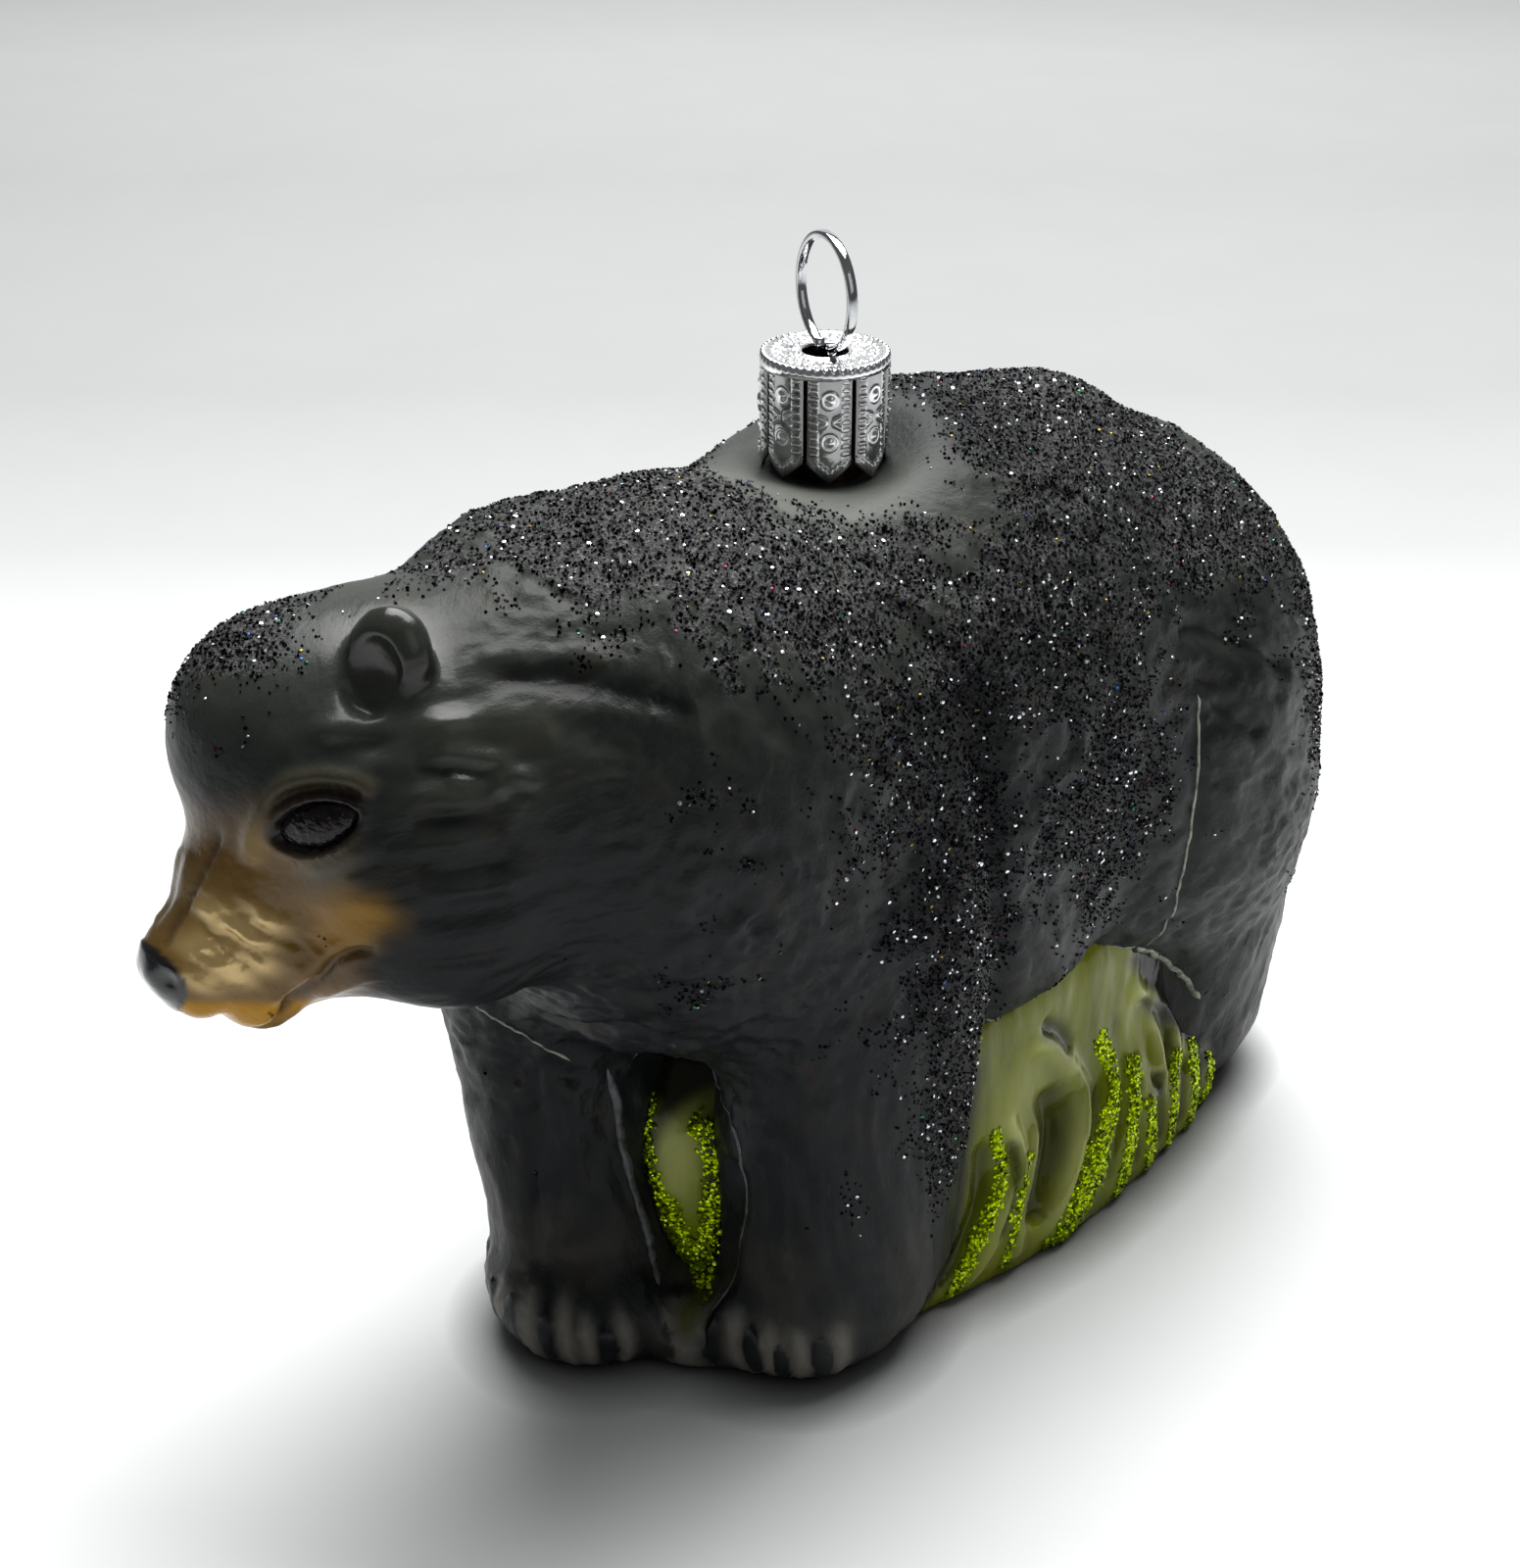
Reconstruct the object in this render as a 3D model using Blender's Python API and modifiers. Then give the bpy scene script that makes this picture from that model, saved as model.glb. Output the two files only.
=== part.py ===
"""Blown-glass hanging ornament: a black bear standing in a tuft of grass.

The bear is modelled whole as rounded masses that melt into one another, then parted with thin
cuts into the parts a person would name. The grass fills the space under its belly and between
its legs. A crown cap with eight pointed flaps sits over the glass neck on its back, and a wire
ring hangs in the cap. The bear faces -Y, its left is +X, and it stands on z = 0.
Sizes are worked out in millimetres, and every mesh is made in metres.
"""

import math

import bmesh
import bpy
import numpy as np
from mathutils import Matrix, Vector

MM = 0.001

# ---- driving dimensions, in millimetres, with the cap's axis at x = y = 0 ----
CAP_ACROSS = 10.4
CAP_TOP = 86.0
CAP_TALL = 10.2
FLAPS = 8
NECK_ACROSS = 7.0
NECK_FOOT = 73.6            # sunk a little in the back, which is 75.2 high there
RING_ACROSS = 10.0
RING_WIRE = 0.9
GAP = 0.3                   # clearance between neighbouring pieces
HEAD_PLACE = (-7.0, -36.0, 58.0)
HEAD_TURN = 20.0            # degrees the face is turned to the bear's right
HEAD_TILT = 14.0            # degrees the head leans to the bear's right
RING_FACING = 157.0         # degrees from +x that the ring's width points
VOXEL = 1.1                 # fineness of the first rough surface
BEAR_TRIANGLES = 2100
GRASS_TRIANGLES = 500

# Ears: place in the head's directions (left, ahead, up) and turn in degrees.
EAR_RADII = (3.4, 2.3, 4.1)
EAR_CUT_RADII = (4.3, 3.3, 4.7)
EAR_LEFT = ((10.5, 6.6, 13.2), (0, 22, 38))
EAR_RIGHT = ((-10.8, 8.0, 10.8), (0, -30, -38))
BOWL_RADII = (2.2, 1.9, 2.5)

# Eyes, nose and the cuts of the head, in the head's directions.
EYE_PLACE = (14.2, 2.7)         # ahead and up from the head's middle
EYE_RADII = (1.7, 3.8, 2.0)
EYE_DEPTH = 0.75
EYE_SLANT, EYE_FACING = 10.0, -45.0
NOSE_PLACE, NOSE_RADII = (0, 25.6, -8.9), (3.9, 3.0, 2.9)
HEAD_CUT_SLANT = 9.0
MUZZLE_CUT_SLANT = 42.0
MOUTH_SLANT = 15.0
NECK_CUT_SLANT = 14.0

# The limbs. Each leg is cut off by an upright box, turned about the upright, whose top rises outwards.
PAW_TALL = 9.0
LEG_LEAN = 32.0
LEGS = [
    # name, side, middle of the box, its halves, its turn, height of its top at x = 0
    ("foreleg_left", 1, (20.5, -17.2), (16.9, 21.85), 20.0, 26.0),
    ("foreleg_right", -1, (-9.7, -31.5), (16.15, 20.7), 20.0, 26.0),
    ("hindleg_left", 1, (20.1, 53.25), (19.9, 26.75), 0.0, 22.0),
    ("hindleg_right", -1, (-20.1, 53.25), (19.9, 26.75), 0.0, 22.0),
]


# ---- turning and placing ----
def turning(about_x=0.0, about_y=0.0, about_z=0.0):
    """Rotation about x, then y, then z, in degrees."""
    angles = [math.radians(a) for a in (about_x, about_y, about_z)]
    turned = [Matrix.Rotation(a, 3, axis) for a, axis in zip(angles, "XYZ")]
    return np.array(turned[2] @ turned[1] @ turned[0])


HEAD = turning(0, -HEAD_TILT, 0)
HEAD = turning(0, 0, -HEAD_TURN) @ HEAD


def in_head(left, ahead, up):
    """A place given in the head's own directions, measured from its middle."""
    return np.array(HEAD_PLACE) + HEAD @ np.array([left, -ahead, up], float)


# ---- the masses: each gives the distance to its surface, negative inside ----
class Ball:
    """An ellipsoid with radii along its own three axes."""

    def __init__(self, name, centre, radii, blend, turn=None):
        self.name, self.centre, self.radii = name, np.array(centre, float), np.array(radii, float)
        self.blend, self.turn = blend, np.eye(3) if turn is None else turn

    def distance(self, points):
        own = (points - self.centre) @ self.turn
        near = np.sqrt(((own / self.radii) ** 2).sum(-1))
        slope = np.sqrt(((own / self.radii**2) ** 2).sum(-1))
        return near * (near - 1) / np.maximum(slope, 1e-9)

    def primitive(self):
        bpy.ops.mesh.primitive_uv_sphere_add(segments=32, ring_count=16, radius=1)
        return [place(self.centre, self.turn, self.radii)]


class Column:
    """A limb tapering from one round end to the other, deeper along y than across."""

    def __init__(self, name, start, end, radius_start, radius_end, blend, deep=1.0):
        self.name, self.start, self.end = name, np.array(start, float), np.array(end, float)
        self.radii, self.blend, self.deep = (radius_start, radius_end), blend, deep

    def distance(self, points):
        squash = np.array([1.0, 1.0 / self.deep, 1.0])
        start, along = self.start * squash, (self.end - self.start) * squash
        from_start = points * squash - start
        part = np.clip(from_start @ along / (along @ along), 0, 1)
        away = np.sqrt(((from_start - part[..., None] * along) ** 2).sum(-1))
        return away - (self.radii[0] + (self.radii[1] - self.radii[0]) * part)

    def primitive(self):
        shapes = []
        for step in np.linspace(0, 1, 7):
            radius = self.radii[0] + (self.radii[1] - self.radii[0]) * step
            centre = self.start + (self.end - self.start) * step
            bpy.ops.mesh.primitive_uv_sphere_add(segments=24, ring_count=12, radius=1)
            shapes.append(place(centre, np.eye(3), (radius, radius * self.deep, radius)))
        return shapes


class Block:
    """A box with rounded edges."""

    def __init__(self, name, centre, halves, rounding, blend):
        self.name, self.centre, self.halves = name, np.array(centre, float), np.array(halves, float)
        self.rounding, self.blend = rounding, blend

    def distance(self, points):
        past = np.abs(points - self.centre) - (self.halves - self.rounding)
        outside = np.sqrt((np.maximum(past, 0) ** 2).sum(-1))
        return outside + np.minimum(past.max(-1), 0) - self.rounding

    def primitive(self):
        bpy.ops.mesh.primitive_cube_add(size=2)
        return [place(self.centre, np.eye(3), self.halves - 0.2 * self.rounding)]


def place(centre, turn, scale):
    """Puts the primitive just added in its place, with its scale applied, in metres."""
    added = bpy.context.object
    move = Matrix.Translation(Vector(centre) * MM) @ Matrix(turn.tolist()).to_4x4()
    added.data.transform(move @ Matrix.Diagonal((*(s * MM for s in scale), 1)))
    return added


def bear_masses():
    masses = [
        Ball("barrel", (0, 9, 52), (23, 36, 28), 6),
        Ball("shoulders", (0, -18, 55), (21, 21, 24.5), 6),
        Ball("rump", (0, 34, 43.5), (26, 28, 28), 6),
        Ball("belly_left", (10, 7, 37), (12, 18, 12), 4),
        Ball("belly_right", (-10, 7, 37), (12, 18, 12), 4),
        Ball("loin", (0, 28, 56), (13, 16, 20.4), 5),
        Column("neck", (0, -24, 59.5), (-7, -38, 60), 18, 15, 5),
        Ball("nape", (-9, -26, 68), (9.6, 11, 9.2), 5),
    ]
    head_balls = [
        ("skull", (0, 6, 2.5), (13.5, 12.5, 14.1), 4, (0, 0, 0)),
        ("forehead", (0, 12.0, 6.8), (9.6, 9.0, 9.7), 4, (0, 0, 0)),
        ("muzzle_root", (0, 14.1, -4), (7.5, 8.3, 7.8), 4, (0, 0, 0)),
        ("muzzle", (0, 19, -8.7), (5.0, 7.0, 5.0), 3, (-12, 0, 0)),
        ("jaw", (0, 9, -8.3), (9.5, 10, 5.2), 4, (0, 0, 0)),
        ("cheek_left", (7, 3, -3), (8, 11, 12), 4, (0, 0, 0)),
        ("cheek_right", (-7, 3, -3), (8, 11, 12), 4, (0, 0, 0)),
        ("ear_left", EAR_LEFT[0], EAR_RADII, 1.2, EAR_LEFT[1]),
        ("ear_right", EAR_RIGHT[0], EAR_RADII, 1.2, EAR_RIGHT[1]),
    ]
    masses += [
        Ball(name, in_head(*centre), radii, blend, HEAD @ turning(*turn))
        for name, centre, radii, blend, turn in head_balls
    ]
    masses += [
        Column("foreleg_left", (13, -10, 44), (12.2, -11.5, 8), 10.5, 9.3, 6, 1.3),
        Ball("forepaw_left", (10.8, -15.2, 4.6), (9.0, 9.3, 6.0), 4),
        Column("foreleg_right", (-11.6, -22.3, 42), (-6.6, -23.3, 8), 10, 8.2, 6, 1.2),
        Ball("forepaw_right", (-4.2, -27.4, 4.5), (8.8, 7.8, 5.8), 4),
        Ball("forepaws_meet", (3.5, -21.5, 2.2), (7, 6, 3.6), 4),
        Column("hindleg_left", (13.4, 37, 34), (12.2, 43.2, 8), 13.2, 9.0, 6, 1.2),
        Ball("hindpaw_left", (11.7, 42.6, 5.3), (7.6, 9.7, 6.2), 3),
        Column("hindleg_right", (-13, 37, 34), (-12.5, 42, 8), 13, 9.3, 6, 1.2),
        Ball("hindpaw_right", (-12, 41, 5.3), (8, 10, 6.3), 3),
        Ball("tail", (0, 60.5, 45), (3.4, 3.5, 4.5), 3, turning(25)),
    ]
    return masses


# The shallow dish in the back that the cap stands in.
DISH = Ball("dish", (1, -1, 86.5), (13, 12, 10.8), 4)
GRASS = [
    Block("grass_bed", (0, 17, 14), (18.6, 33, 17), 6, 2),
    Ball("grass_front", (0.5, -15, 16), (8.5, 8.5, 15), 2),
    Ball("grass_rear", (0, 47, 15), (7, 8, 19), 2),
    Ball("grass_swell_left", (9, 19, 4), (13.5, 35, 15), 3),
    Ball("grass_swell_right", (-9, 19, 4), (13.5, 35, 15), 3),
]


def melt(one, other, blend):
    """Smooth union of two distances."""
    near = np.maximum(blend - np.abs(one - other), 0) / blend
    return np.minimum(one, other) - near**3 * blend / 6


def union(masses, points):
    whole = masses[0].distance(points)
    for mass in masses[1:]:
        whole = melt(whole, mass.distance(points), mass.blend)
    return whole


def bear(points):
    return -melt(-union(bear_masses_made, points), DISH.distance(points), DISH.blend)


def grass(points):
    return union(GRASS, points)


# ---- objects ----
def collection(name):
    made = bpy.data.collections.new(name)
    bpy.context.scene.collection.children.link(made)
    return made


def keep_mesh(name, mesh, where):
    """A new object for a mesh, in one collection."""
    made = bpy.data.objects.new(name, mesh)
    where.objects.link(made)
    return made


def finished(obj, name, where):
    """The object with its modifiers made into plain mesh, under a new name."""
    bpy.context.view_layer.update()
    ready = obj.evaluated_get(bpy.context.evaluated_depsgraph_get())
    mesh = bpy.data.meshes.new_from_object(ready)
    bpy.data.objects.remove(obj)
    return keep_mesh(name, mesh, where)


def coordinates(mesh):
    places = np.empty(len(mesh.vertices) * 3)
    mesh.vertices.foreach_get("co", places)
    return places.reshape(-1, 3)


def settle(mesh, distance, level):
    """Moves every vertex along the slope of a distance until it lies at that level."""
    places = coordinates(mesh) / MM
    step = 0.05
    sides = np.eye(3) * step
    for _ in range(6):
        value = distance(places) - level
        slope = np.stack([distance(places + s) - distance(places - s) for s in sides], -1) / (2 * step)
        size = np.maximum((slope**2).sum(-1), 0.2)
        places -= np.clip(value / size, -1.0, 1.0)[:, None] * slope
    mesh.vertices.foreach_set("co", (places * MM).ravel())
    mesh.update()


def melted_solid(name, masses, distance, level, triangles):
    """The masses as primitives, fused by a voxel remesh, settled on their melted surface and thinned."""
    shapes = []
    for mass in masses:
        shapes += mass.primitive()
    bpy.ops.object.select_all(action="DESELECT")
    for shape in shapes:
        shape.select_set(True)
    bpy.context.view_layer.objects.active = shapes[0]
    bpy.ops.object.join()
    rough = bpy.context.object
    fuse = rough.modifiers.new("fuse", "REMESH")
    fuse.mode = "VOXEL"
    fuse.voxel_size = VOXEL * MM
    rough = finished(rough, name, cutters)
    settle(rough.data, distance, level)
    even = rough.modifiers.new("even", "SMOOTH")
    even.factor = 0.5
    even.iterations = 2
    rough = finished(rough, name, cutters)
    settle(rough.data, distance, level)
    thin = rough.modifiers.new("thin", "DECIMATE")
    thin.ratio = triangles / (2 * len(rough.data.polygons))
    rough = finished(rough, name, cutters)
    return guide(rough)


def guide(obj):
    """Marks an object as one that only shapes others."""
    obj.hide_render = True
    obj.display_type = "WIRE"
    return obj


def carve(obj, tool, operation):
    """The object cut or kept by a closed tool."""
    cut = obj.modifiers.new("cut", "BOOLEAN")
    cut.operation = operation
    cut.object = tool
    cut.solver = "EXACT"
    name, where = obj.name, obj.users_collection[0]
    return finished(obj, name, where)


def copied(obj, name, where):
    return keep_mesh(name, obj.data.copy(), where)


def box_tool(name, centre, halves, turn, grow=0.0):
    """A box cutter, with its halves widened by grow."""
    bpy.ops.mesh.primitive_cube_add(size=2)
    place(np.array(centre, float), turn, [h + grow for h in halves])
    return as_tool(name)


def ball_tool(name, centre, radii, turn, grow=0.0, segments=16):
    """An ellipsoid cutter, with its radii widened by grow."""
    bpy.ops.mesh.primitive_uv_sphere_add(segments=segments, ring_count=segments // 2, radius=1)
    place(np.array(centre, float), turn, [r + grow for r in radii])
    return as_tool(name)


def seat_tool(name, radius, foot):
    """An upright round cutter from its foot to clear of the back."""
    tall = 6.0
    bpy.ops.mesh.primitive_cylinder_add(vertices=40, radius=1, depth=2)
    place(np.array([0, 0, foot + tall]), np.eye(3), (radius, radius, tall))
    return as_tool(name)


def leg_tool(name, side, middle, halves, turn, top, grow=0.0):
    """An upright box round a leg, cut off above by a plane that rises outwards."""
    leg = box_tool(name, (*middle, 20), (*halves, 40), turning(0, 0, turn), grow)
    lean = turning(0, -side * LEG_LEAN, 0)
    above = np.array([0, 0, top + grow]) + lean @ np.array([0, 0, 60])
    lid = box_tool("lid_" + name, above, (90, 90, 60), lean)
    return guide(carve(leg, lid, "DIFFERENCE"))


def as_tool(name):
    made = bpy.context.object
    made.name = name
    for where in list(made.users_collection):
        where.objects.unlink(made)
    cutters.objects.link(made)
    return guide(made)


def part_off(body, name, make_tool, *args):
    """Takes the piece of body inside a tool off as its own object, with the gap left between them."""
    piece = copied(body, name, parts)
    piece = carve(piece, make_tool("cut_" + name, *args), "INTERSECT")
    body = carve(body, make_tool("gap_" + name, *args, GAP), "DIFFERENCE")
    return body, piece


def surface_from(start, towards, distance):
    """The place where a line from inside the body leaves it."""
    low, high = 0.0, 40.0
    for _ in range(40):
        middle = (low + high) / 2
        inside = distance((start + towards * middle)[None])[0] < 0
        low, high = (middle, high) if inside else (low, middle)
    return start + towards * low


def swell(mesh, by):
    """Moves every vertex out along its normal."""
    normals = np.empty(len(mesh.vertices) * 3)
    mesh.vertices.foreach_get("normal", normals)
    places = coordinates(mesh) + normals.reshape(-1, 3) * by * MM
    mesh.vertices.foreach_set("co", places.ravel())
    mesh.update()


def largest_body(obj):
    """Leaves only the body with the most faces."""
    whole = bmesh.new()
    whole.from_mesh(obj.data)
    seen, best = set(), []
    for face in whole.faces:
        if face in seen:
            continue
        body, edge_of_search = [], [face]
        seen.add(face)
        while edge_of_search:
            here = edge_of_search.pop()
            body.append(here)
            for edge in here.edges:
                for beside in edge.link_faces:
                    if beside not in seen:
                        seen.add(beside)
                        edge_of_search.append(beside)
        best = max(best, body, key=len)
    loose = set(whole.faces) - set(best)
    bmesh.ops.delete(whole, geom=list(loose), context="FACES")
    whole.to_mesh(obj.data)
    whole.free()
    return obj


def tidy_faces(mesh):
    """Welds vertices that meet and dissolves faces with no area."""
    whole = bmesh.new()
    whole.from_mesh(mesh)
    bmesh.ops.remove_doubles(whole, verts=whole.verts, dist=0.000002)
    bmesh.ops.dissolve_degenerate(whole, edges=whole.edges, dist=0.000002)
    bmesh.ops.triangulate(whole, faces=whole.faces)
    whole.to_mesh(mesh)
    whole.free()


# ---- materials ----
def material(name, colour, roughness, metallic):
    made = bpy.data.materials.new(name)
    made.use_nodes = True
    shader = made.node_tree.nodes["Principled BSDF"]
    shader.inputs["Base Color"].default_value = (*colour, 1)
    shader.inputs["Roughness"].default_value = roughness
    shader.inputs["Metallic"].default_value = metallic
    made.diffuse_color = (*colour, 1)
    return made


def dress(objects, made):
    for obj in objects:
        obj.data.materials.clear()
        obj.data.materials.append(made)


# ---- the bear and its parts ----
def part_bear(whole):
    """Parts the whole bear with thin cuts; returns every piece by name."""
    pieces = {}

    def off(body, name, make_tool, *args):
        body, pieces[name] = part_off(body, name, make_tool, *args)
        return body

    body = copied(whole, "barrel", parts)
    floor = box_tool("below_floor", (0, 0, -10), (60, 90, 10), np.eye(3))
    body = carve(body, floor, "DIFFERENCE")

    # The eyes: almond domes at the skin, let into sockets a gap wider than they are.
    for side, sign in (("left", 1), ("right", -1)):
        start = in_head(0, *EYE_PLACE)
        skin = surface_from(start, HEAD @ np.array([sign, 0.0, 0.0]), bear)
        turn = HEAD @ turning(EYE_SLANT, 0, sign * EYE_FACING)
        body = off(body, "eye_" + side, ball_tool, skin - turn @ np.array([sign * EYE_DEPTH, 0, 0]), EYE_RADII, turn)

    # The ears, parted at their roots, each with its bowl.
    for side, ear, sign in (("left", EAR_LEFT, 1), ("right", EAR_RIGHT, -1)):
        turn = HEAD @ turning(*ear[1])
        middle = in_head(*ear[0]) + turn @ np.array([0, 0, 0.8])
        body = off(body, "ear_" + side, ball_tool, middle, EAR_CUT_RADII, turn)
        bowl = ball_tool("bowl_" + side, in_head(*ear[0]) + turn @ np.array([sign * 0.4, -2.5, 0.9]),
                         BOWL_RADII, turn)
        pieces["ear_" + side] = carve(pieces["ear_" + side], bowl, "DIFFERENCE")

    body = off(body, "head", box_tool, in_head(0, 27.3, 5), (30, 26, 23), HEAD @ turning(HEAD_CUT_SLANT))
    head = pieces["head"]
    head = off(head, "nose", ball_tool, in_head(*NOSE_PLACE), NOSE_RADII, HEAD)
    head = off(head, "muzzle", box_tool, in_head(0, 29, -17), (16, 16, 16), HEAD @ turning(MUZZLE_CUT_SLANT))
    muzzle = pieces["muzzle"]
    muzzle = off(muzzle, "lower_jaw", box_tool, in_head(0, 16, -20.6), (16, 20, 8), HEAD @ turning(MOUTH_SLANT))
    pieces["head"], pieces["muzzle"] = head, muzzle

    # Limbs: each leg is parted from the trunk by a leaning cut, each paw from its leg by a level one.
    for name, *cut in LEGS:
        body = off(body, name, leg_tool, *cut)
        below = box_tool, (0, 0, PAW_TALL - 20), (60, 90, 20), np.eye(3)
        pieces[name] = off(pieces[name], name.replace("leg", "paw"), *below)

    body = off(body, "neck", box_tool, (-4, -52.5, 62), (40, 26, 34), turning(NECK_CUT_SLANT, 0, -12))
    body = off(body, "tail", box_tool, (0, 66, 46), (7, 4.2, 8), turning(10))
    body = off(body, "shoulders", box_tool, (0, -40, 50), (40, 28, 60), np.eye(3))
    body = off(body, "rump", box_tool, (0, 62, 50), (40, 36, 60), turning(-8))
    pieces["barrel"] = body
    return pieces


# Each finish is a colour, a roughness and a metallic value, and FINISHES_ON says what wears it.
FINISHES = [
    ("black_coat", (0.025, 0.03, 0.03), 0.5, 0.0),
    ("tan_muzzle", (0.45, 0.27, 0.1), 0.25, 0.0),
    ("gloss_black", (0.008, 0.008, 0.01), 0.05, 0.0),
    ("green_grass", (0.28, 0.33, 0.1), 0.3, 0.0),
    ("silver_cap", (0.85, 0.85, 0.87), 0.2, 1.0),
    ("steel_wire", (0.7, 0.7, 0.7), 0.25, 1.0),
    ("clear_glass", (0.75, 0.78, 0.76), 0.05, 0.0),
]
LIMBS = [kind + side for kind in ("foreleg_", "forepaw_", "hindleg_", "hindpaw_") for side in ("left", "right")]
FINISHES_ON = {
    "black_coat": ["head", "neck", "shoulders", "barrel", "rump", "tail", "ear_left", "ear_right", *LIMBS],
    "tan_muzzle": ["muzzle", "lower_jaw"],
    "gloss_black": ["nose", "eye_left", "eye_right"],
    "green_grass": ["grass"],
    "silver_cap": ["crown_cap"],
    "steel_wire": ["hanging_ring"],
    "clear_glass": ["glass_neck"],
}


# ---- cap, glass neck and ring ----
def turned(name, profile, where):
    """A profile of (radius, height) pairs, top to bottom on its outer side, turned about the z axis."""
    mesh = bpy.data.meshes.new(name)
    points = [(r * MM, 0, z * MM) for r, z in profile]
    count = len(points)
    mesh.from_pydata(points, [(i, (i + 1) % count) for i in range(count)], [])
    made = keep_mesh(name, mesh, where)
    screw = made.modifiers.new("turn", "SCREW")
    screw.steps = screw.render_steps = 32
    screw.use_merge_vertices = True
    screw.merge_threshold = 0.00001
    return finished(made, name, where)


def glass_neck():
    outer = NECK_ACROSS / 2
    inner, top = outer - 0.8, CAP_TOP - 1.0
    ring = [(inner, top), (outer, top), (outer, NECK_FOOT), (inner, NECK_FOOT)]
    return turned("glass_neck", ring, parts)


def crown_cap():
    """A thin metal cup with a rounded shoulder, a hole on top and a skirt cut into pointed flaps."""
    wall = 0.45
    radius = CAP_ACROSS / 2
    bend = 0.8
    foot = CAP_TOP - CAP_TALL
    hole = 1.9
    arc = [math.radians(a) for a in (90, 60, 30, 0)]
    outside = [(radius - bend + bend * math.cos(a), CAP_TOP - bend + bend * math.sin(a)) for a in arc]
    inside = [(radius - bend + (bend - wall) * math.cos(a), CAP_TOP - bend + (bend - wall) * math.sin(a)) for a in arc]
    profile = [(hole, CAP_TOP)] + outside + [(radius, foot), (radius - wall, foot)]
    profile += inside[::-1] + [(hole, CAP_TOP - wall)]
    cap = turned("crown_cap", profile, parts)
    slit, tip = 0.34, 1.45
    half = radius * math.tan(math.pi / FLAPS)
    for flap in range(FLAPS):
        turn = turning(0, 0, (flap + 0.5) * 360 / FLAPS)
        across = turn @ np.array([radius, 0, 0])
        gap = box_tool(f"slit_{flap}", across + np.array([0, 0, foot + CAP_TALL / 2 - 1.6]),
                       (1.2, slit / 2, CAP_TALL / 2 - 0.4), turn)
        cap = carve(cap, gap, "DIFFERENCE")
        notch = box_tool(f"notch_{flap}", across + np.array([0, 0, foot]), (1.4, tip, tip),
                         turn @ turning(45, 0, 0))
        cap = carve(cap, notch, "DIFFERENCE")
    return cap


def hanging_ring():
    """A wire ring whose two legs run down through the cap's hole into the glass neck."""
    radius = RING_ACROSS / 2 - RING_WIRE / 2
    spread = 0.75
    middle = CAP_TOP + 0.2 + radius
    drop = math.asin(spread / radius)
    bend = bpy.data.curves.new("hanging_ring", "CURVE")
    bend.dimensions = "3D"
    bend.bevel_depth = RING_WIRE / 2 * MM
    bend.bevel_resolution = 2
    bend.use_fill_caps = True
    angles = np.linspace(-math.pi / 2 + drop, 3 * math.pi / 2 - drop, 25)
    path = [(radius * math.cos(a), radius * math.sin(a) + middle) for a in angles]
    legs = CAP_TOP - 4.5
    path = [(1.5, legs), (1.05, CAP_TOP - 2.2)] + path + [(-1.05, CAP_TOP - 2.2), (-1.5, legs)]
    spline = bend.splines.new("POLY")
    spline.points.add(len(path) - 1)
    facing = math.radians(RING_FACING)
    for point, (across, height) in zip(spline.points, path):
        point.co = (across * math.cos(facing) * MM, across * math.sin(facing) * MM, height * MM, 1)
    wire = keep_mesh("hanging_ring", bend, parts)
    made = finished(wire, "hanging_ring", parts)
    welded = bmesh.new()
    welded.from_mesh(made.data)
    bmesh.ops.remove_doubles(welded, verts=welded.verts, dist=0.000001)
    bmesh.ops.recalc_face_normals(welded, faces=welded.faces)
    welded.to_mesh(made.data)
    welded.free()
    return made


# ---- build ----
for old in list(bpy.data.objects):
    bpy.data.objects.remove(old)
parts = collection("bear_ornament")
cutters = collection("cutters")
bear_masses_made = bear_masses()

whole_bear = melted_solid("whole_bear", bear_masses_made, bear, 0.0, BEAR_TRIANGLES)
pieces = part_bear(whole_bear)

# The grass is cut by a bear swollen by the gap, so that the two meet all over without touching.
clear_bear = copied(whole_bear, "clear_bear", cutters)
swell(clear_bear.data, 1.15 * GAP)
guide(clear_bear)
tuft = copied(melted_solid("whole_grass", GRASS, grass, 0.0, GRASS_TRIANGLES), "grass", parts)
tuft = carve(tuft, clear_bear, "DIFFERENCE")
tuft = carve(tuft, bpy.data.objects["below_floor"], "DIFFERENCE")
pieces["grass"] = largest_body(tuft)

# The glass neck stands in a round seat in the back, and the cap's flaps clear it by a wider one.
for name, across, foot in (("neck_seat", NECK_ACROSS, NECK_FOOT), ("cap_seat", CAP_ACROSS, CAP_TOP - CAP_TALL)):
    pieces["barrel"] = carve(pieces["barrel"], seat_tool(name, across / 2 + GAP, foot - GAP), "DIFFERENCE")
pieces["glass_neck"] = glass_neck()
pieces["crown_cap"] = crown_cap()
pieces["hanging_ring"] = hanging_ring()

for name, colour, roughness, metallic in FINISHES:
    made = material("painted_" + name if metallic == 0 else name, colour, roughness, metallic)
    dress([pieces[n] for n in FINISHES_ON[name]], made)

# The origin goes to the middle of the footprint, on the floor.
corners = np.concatenate([coordinates(o.data) for o in pieces.values()])
middle = (corners.min(0) + corners.max(0)) / 2
shift = Matrix.Translation((-middle[0], -middle[1], -corners[:, 2].min()))
for name, piece in pieces.items():
    piece.name = name
    piece.data.transform(shift)
    tidy_faces(piece.data)
    piece.data.shade_smooth()
    piece.data.set_sharp_from_angle(angle=math.radians(35))
for tool in cutters.objects:
    if tool.type == "MESH":
        tool.data.transform(shift)
print("pieces", {n: len(o.data.polygons) for n, o in pieces.items()})
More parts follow.
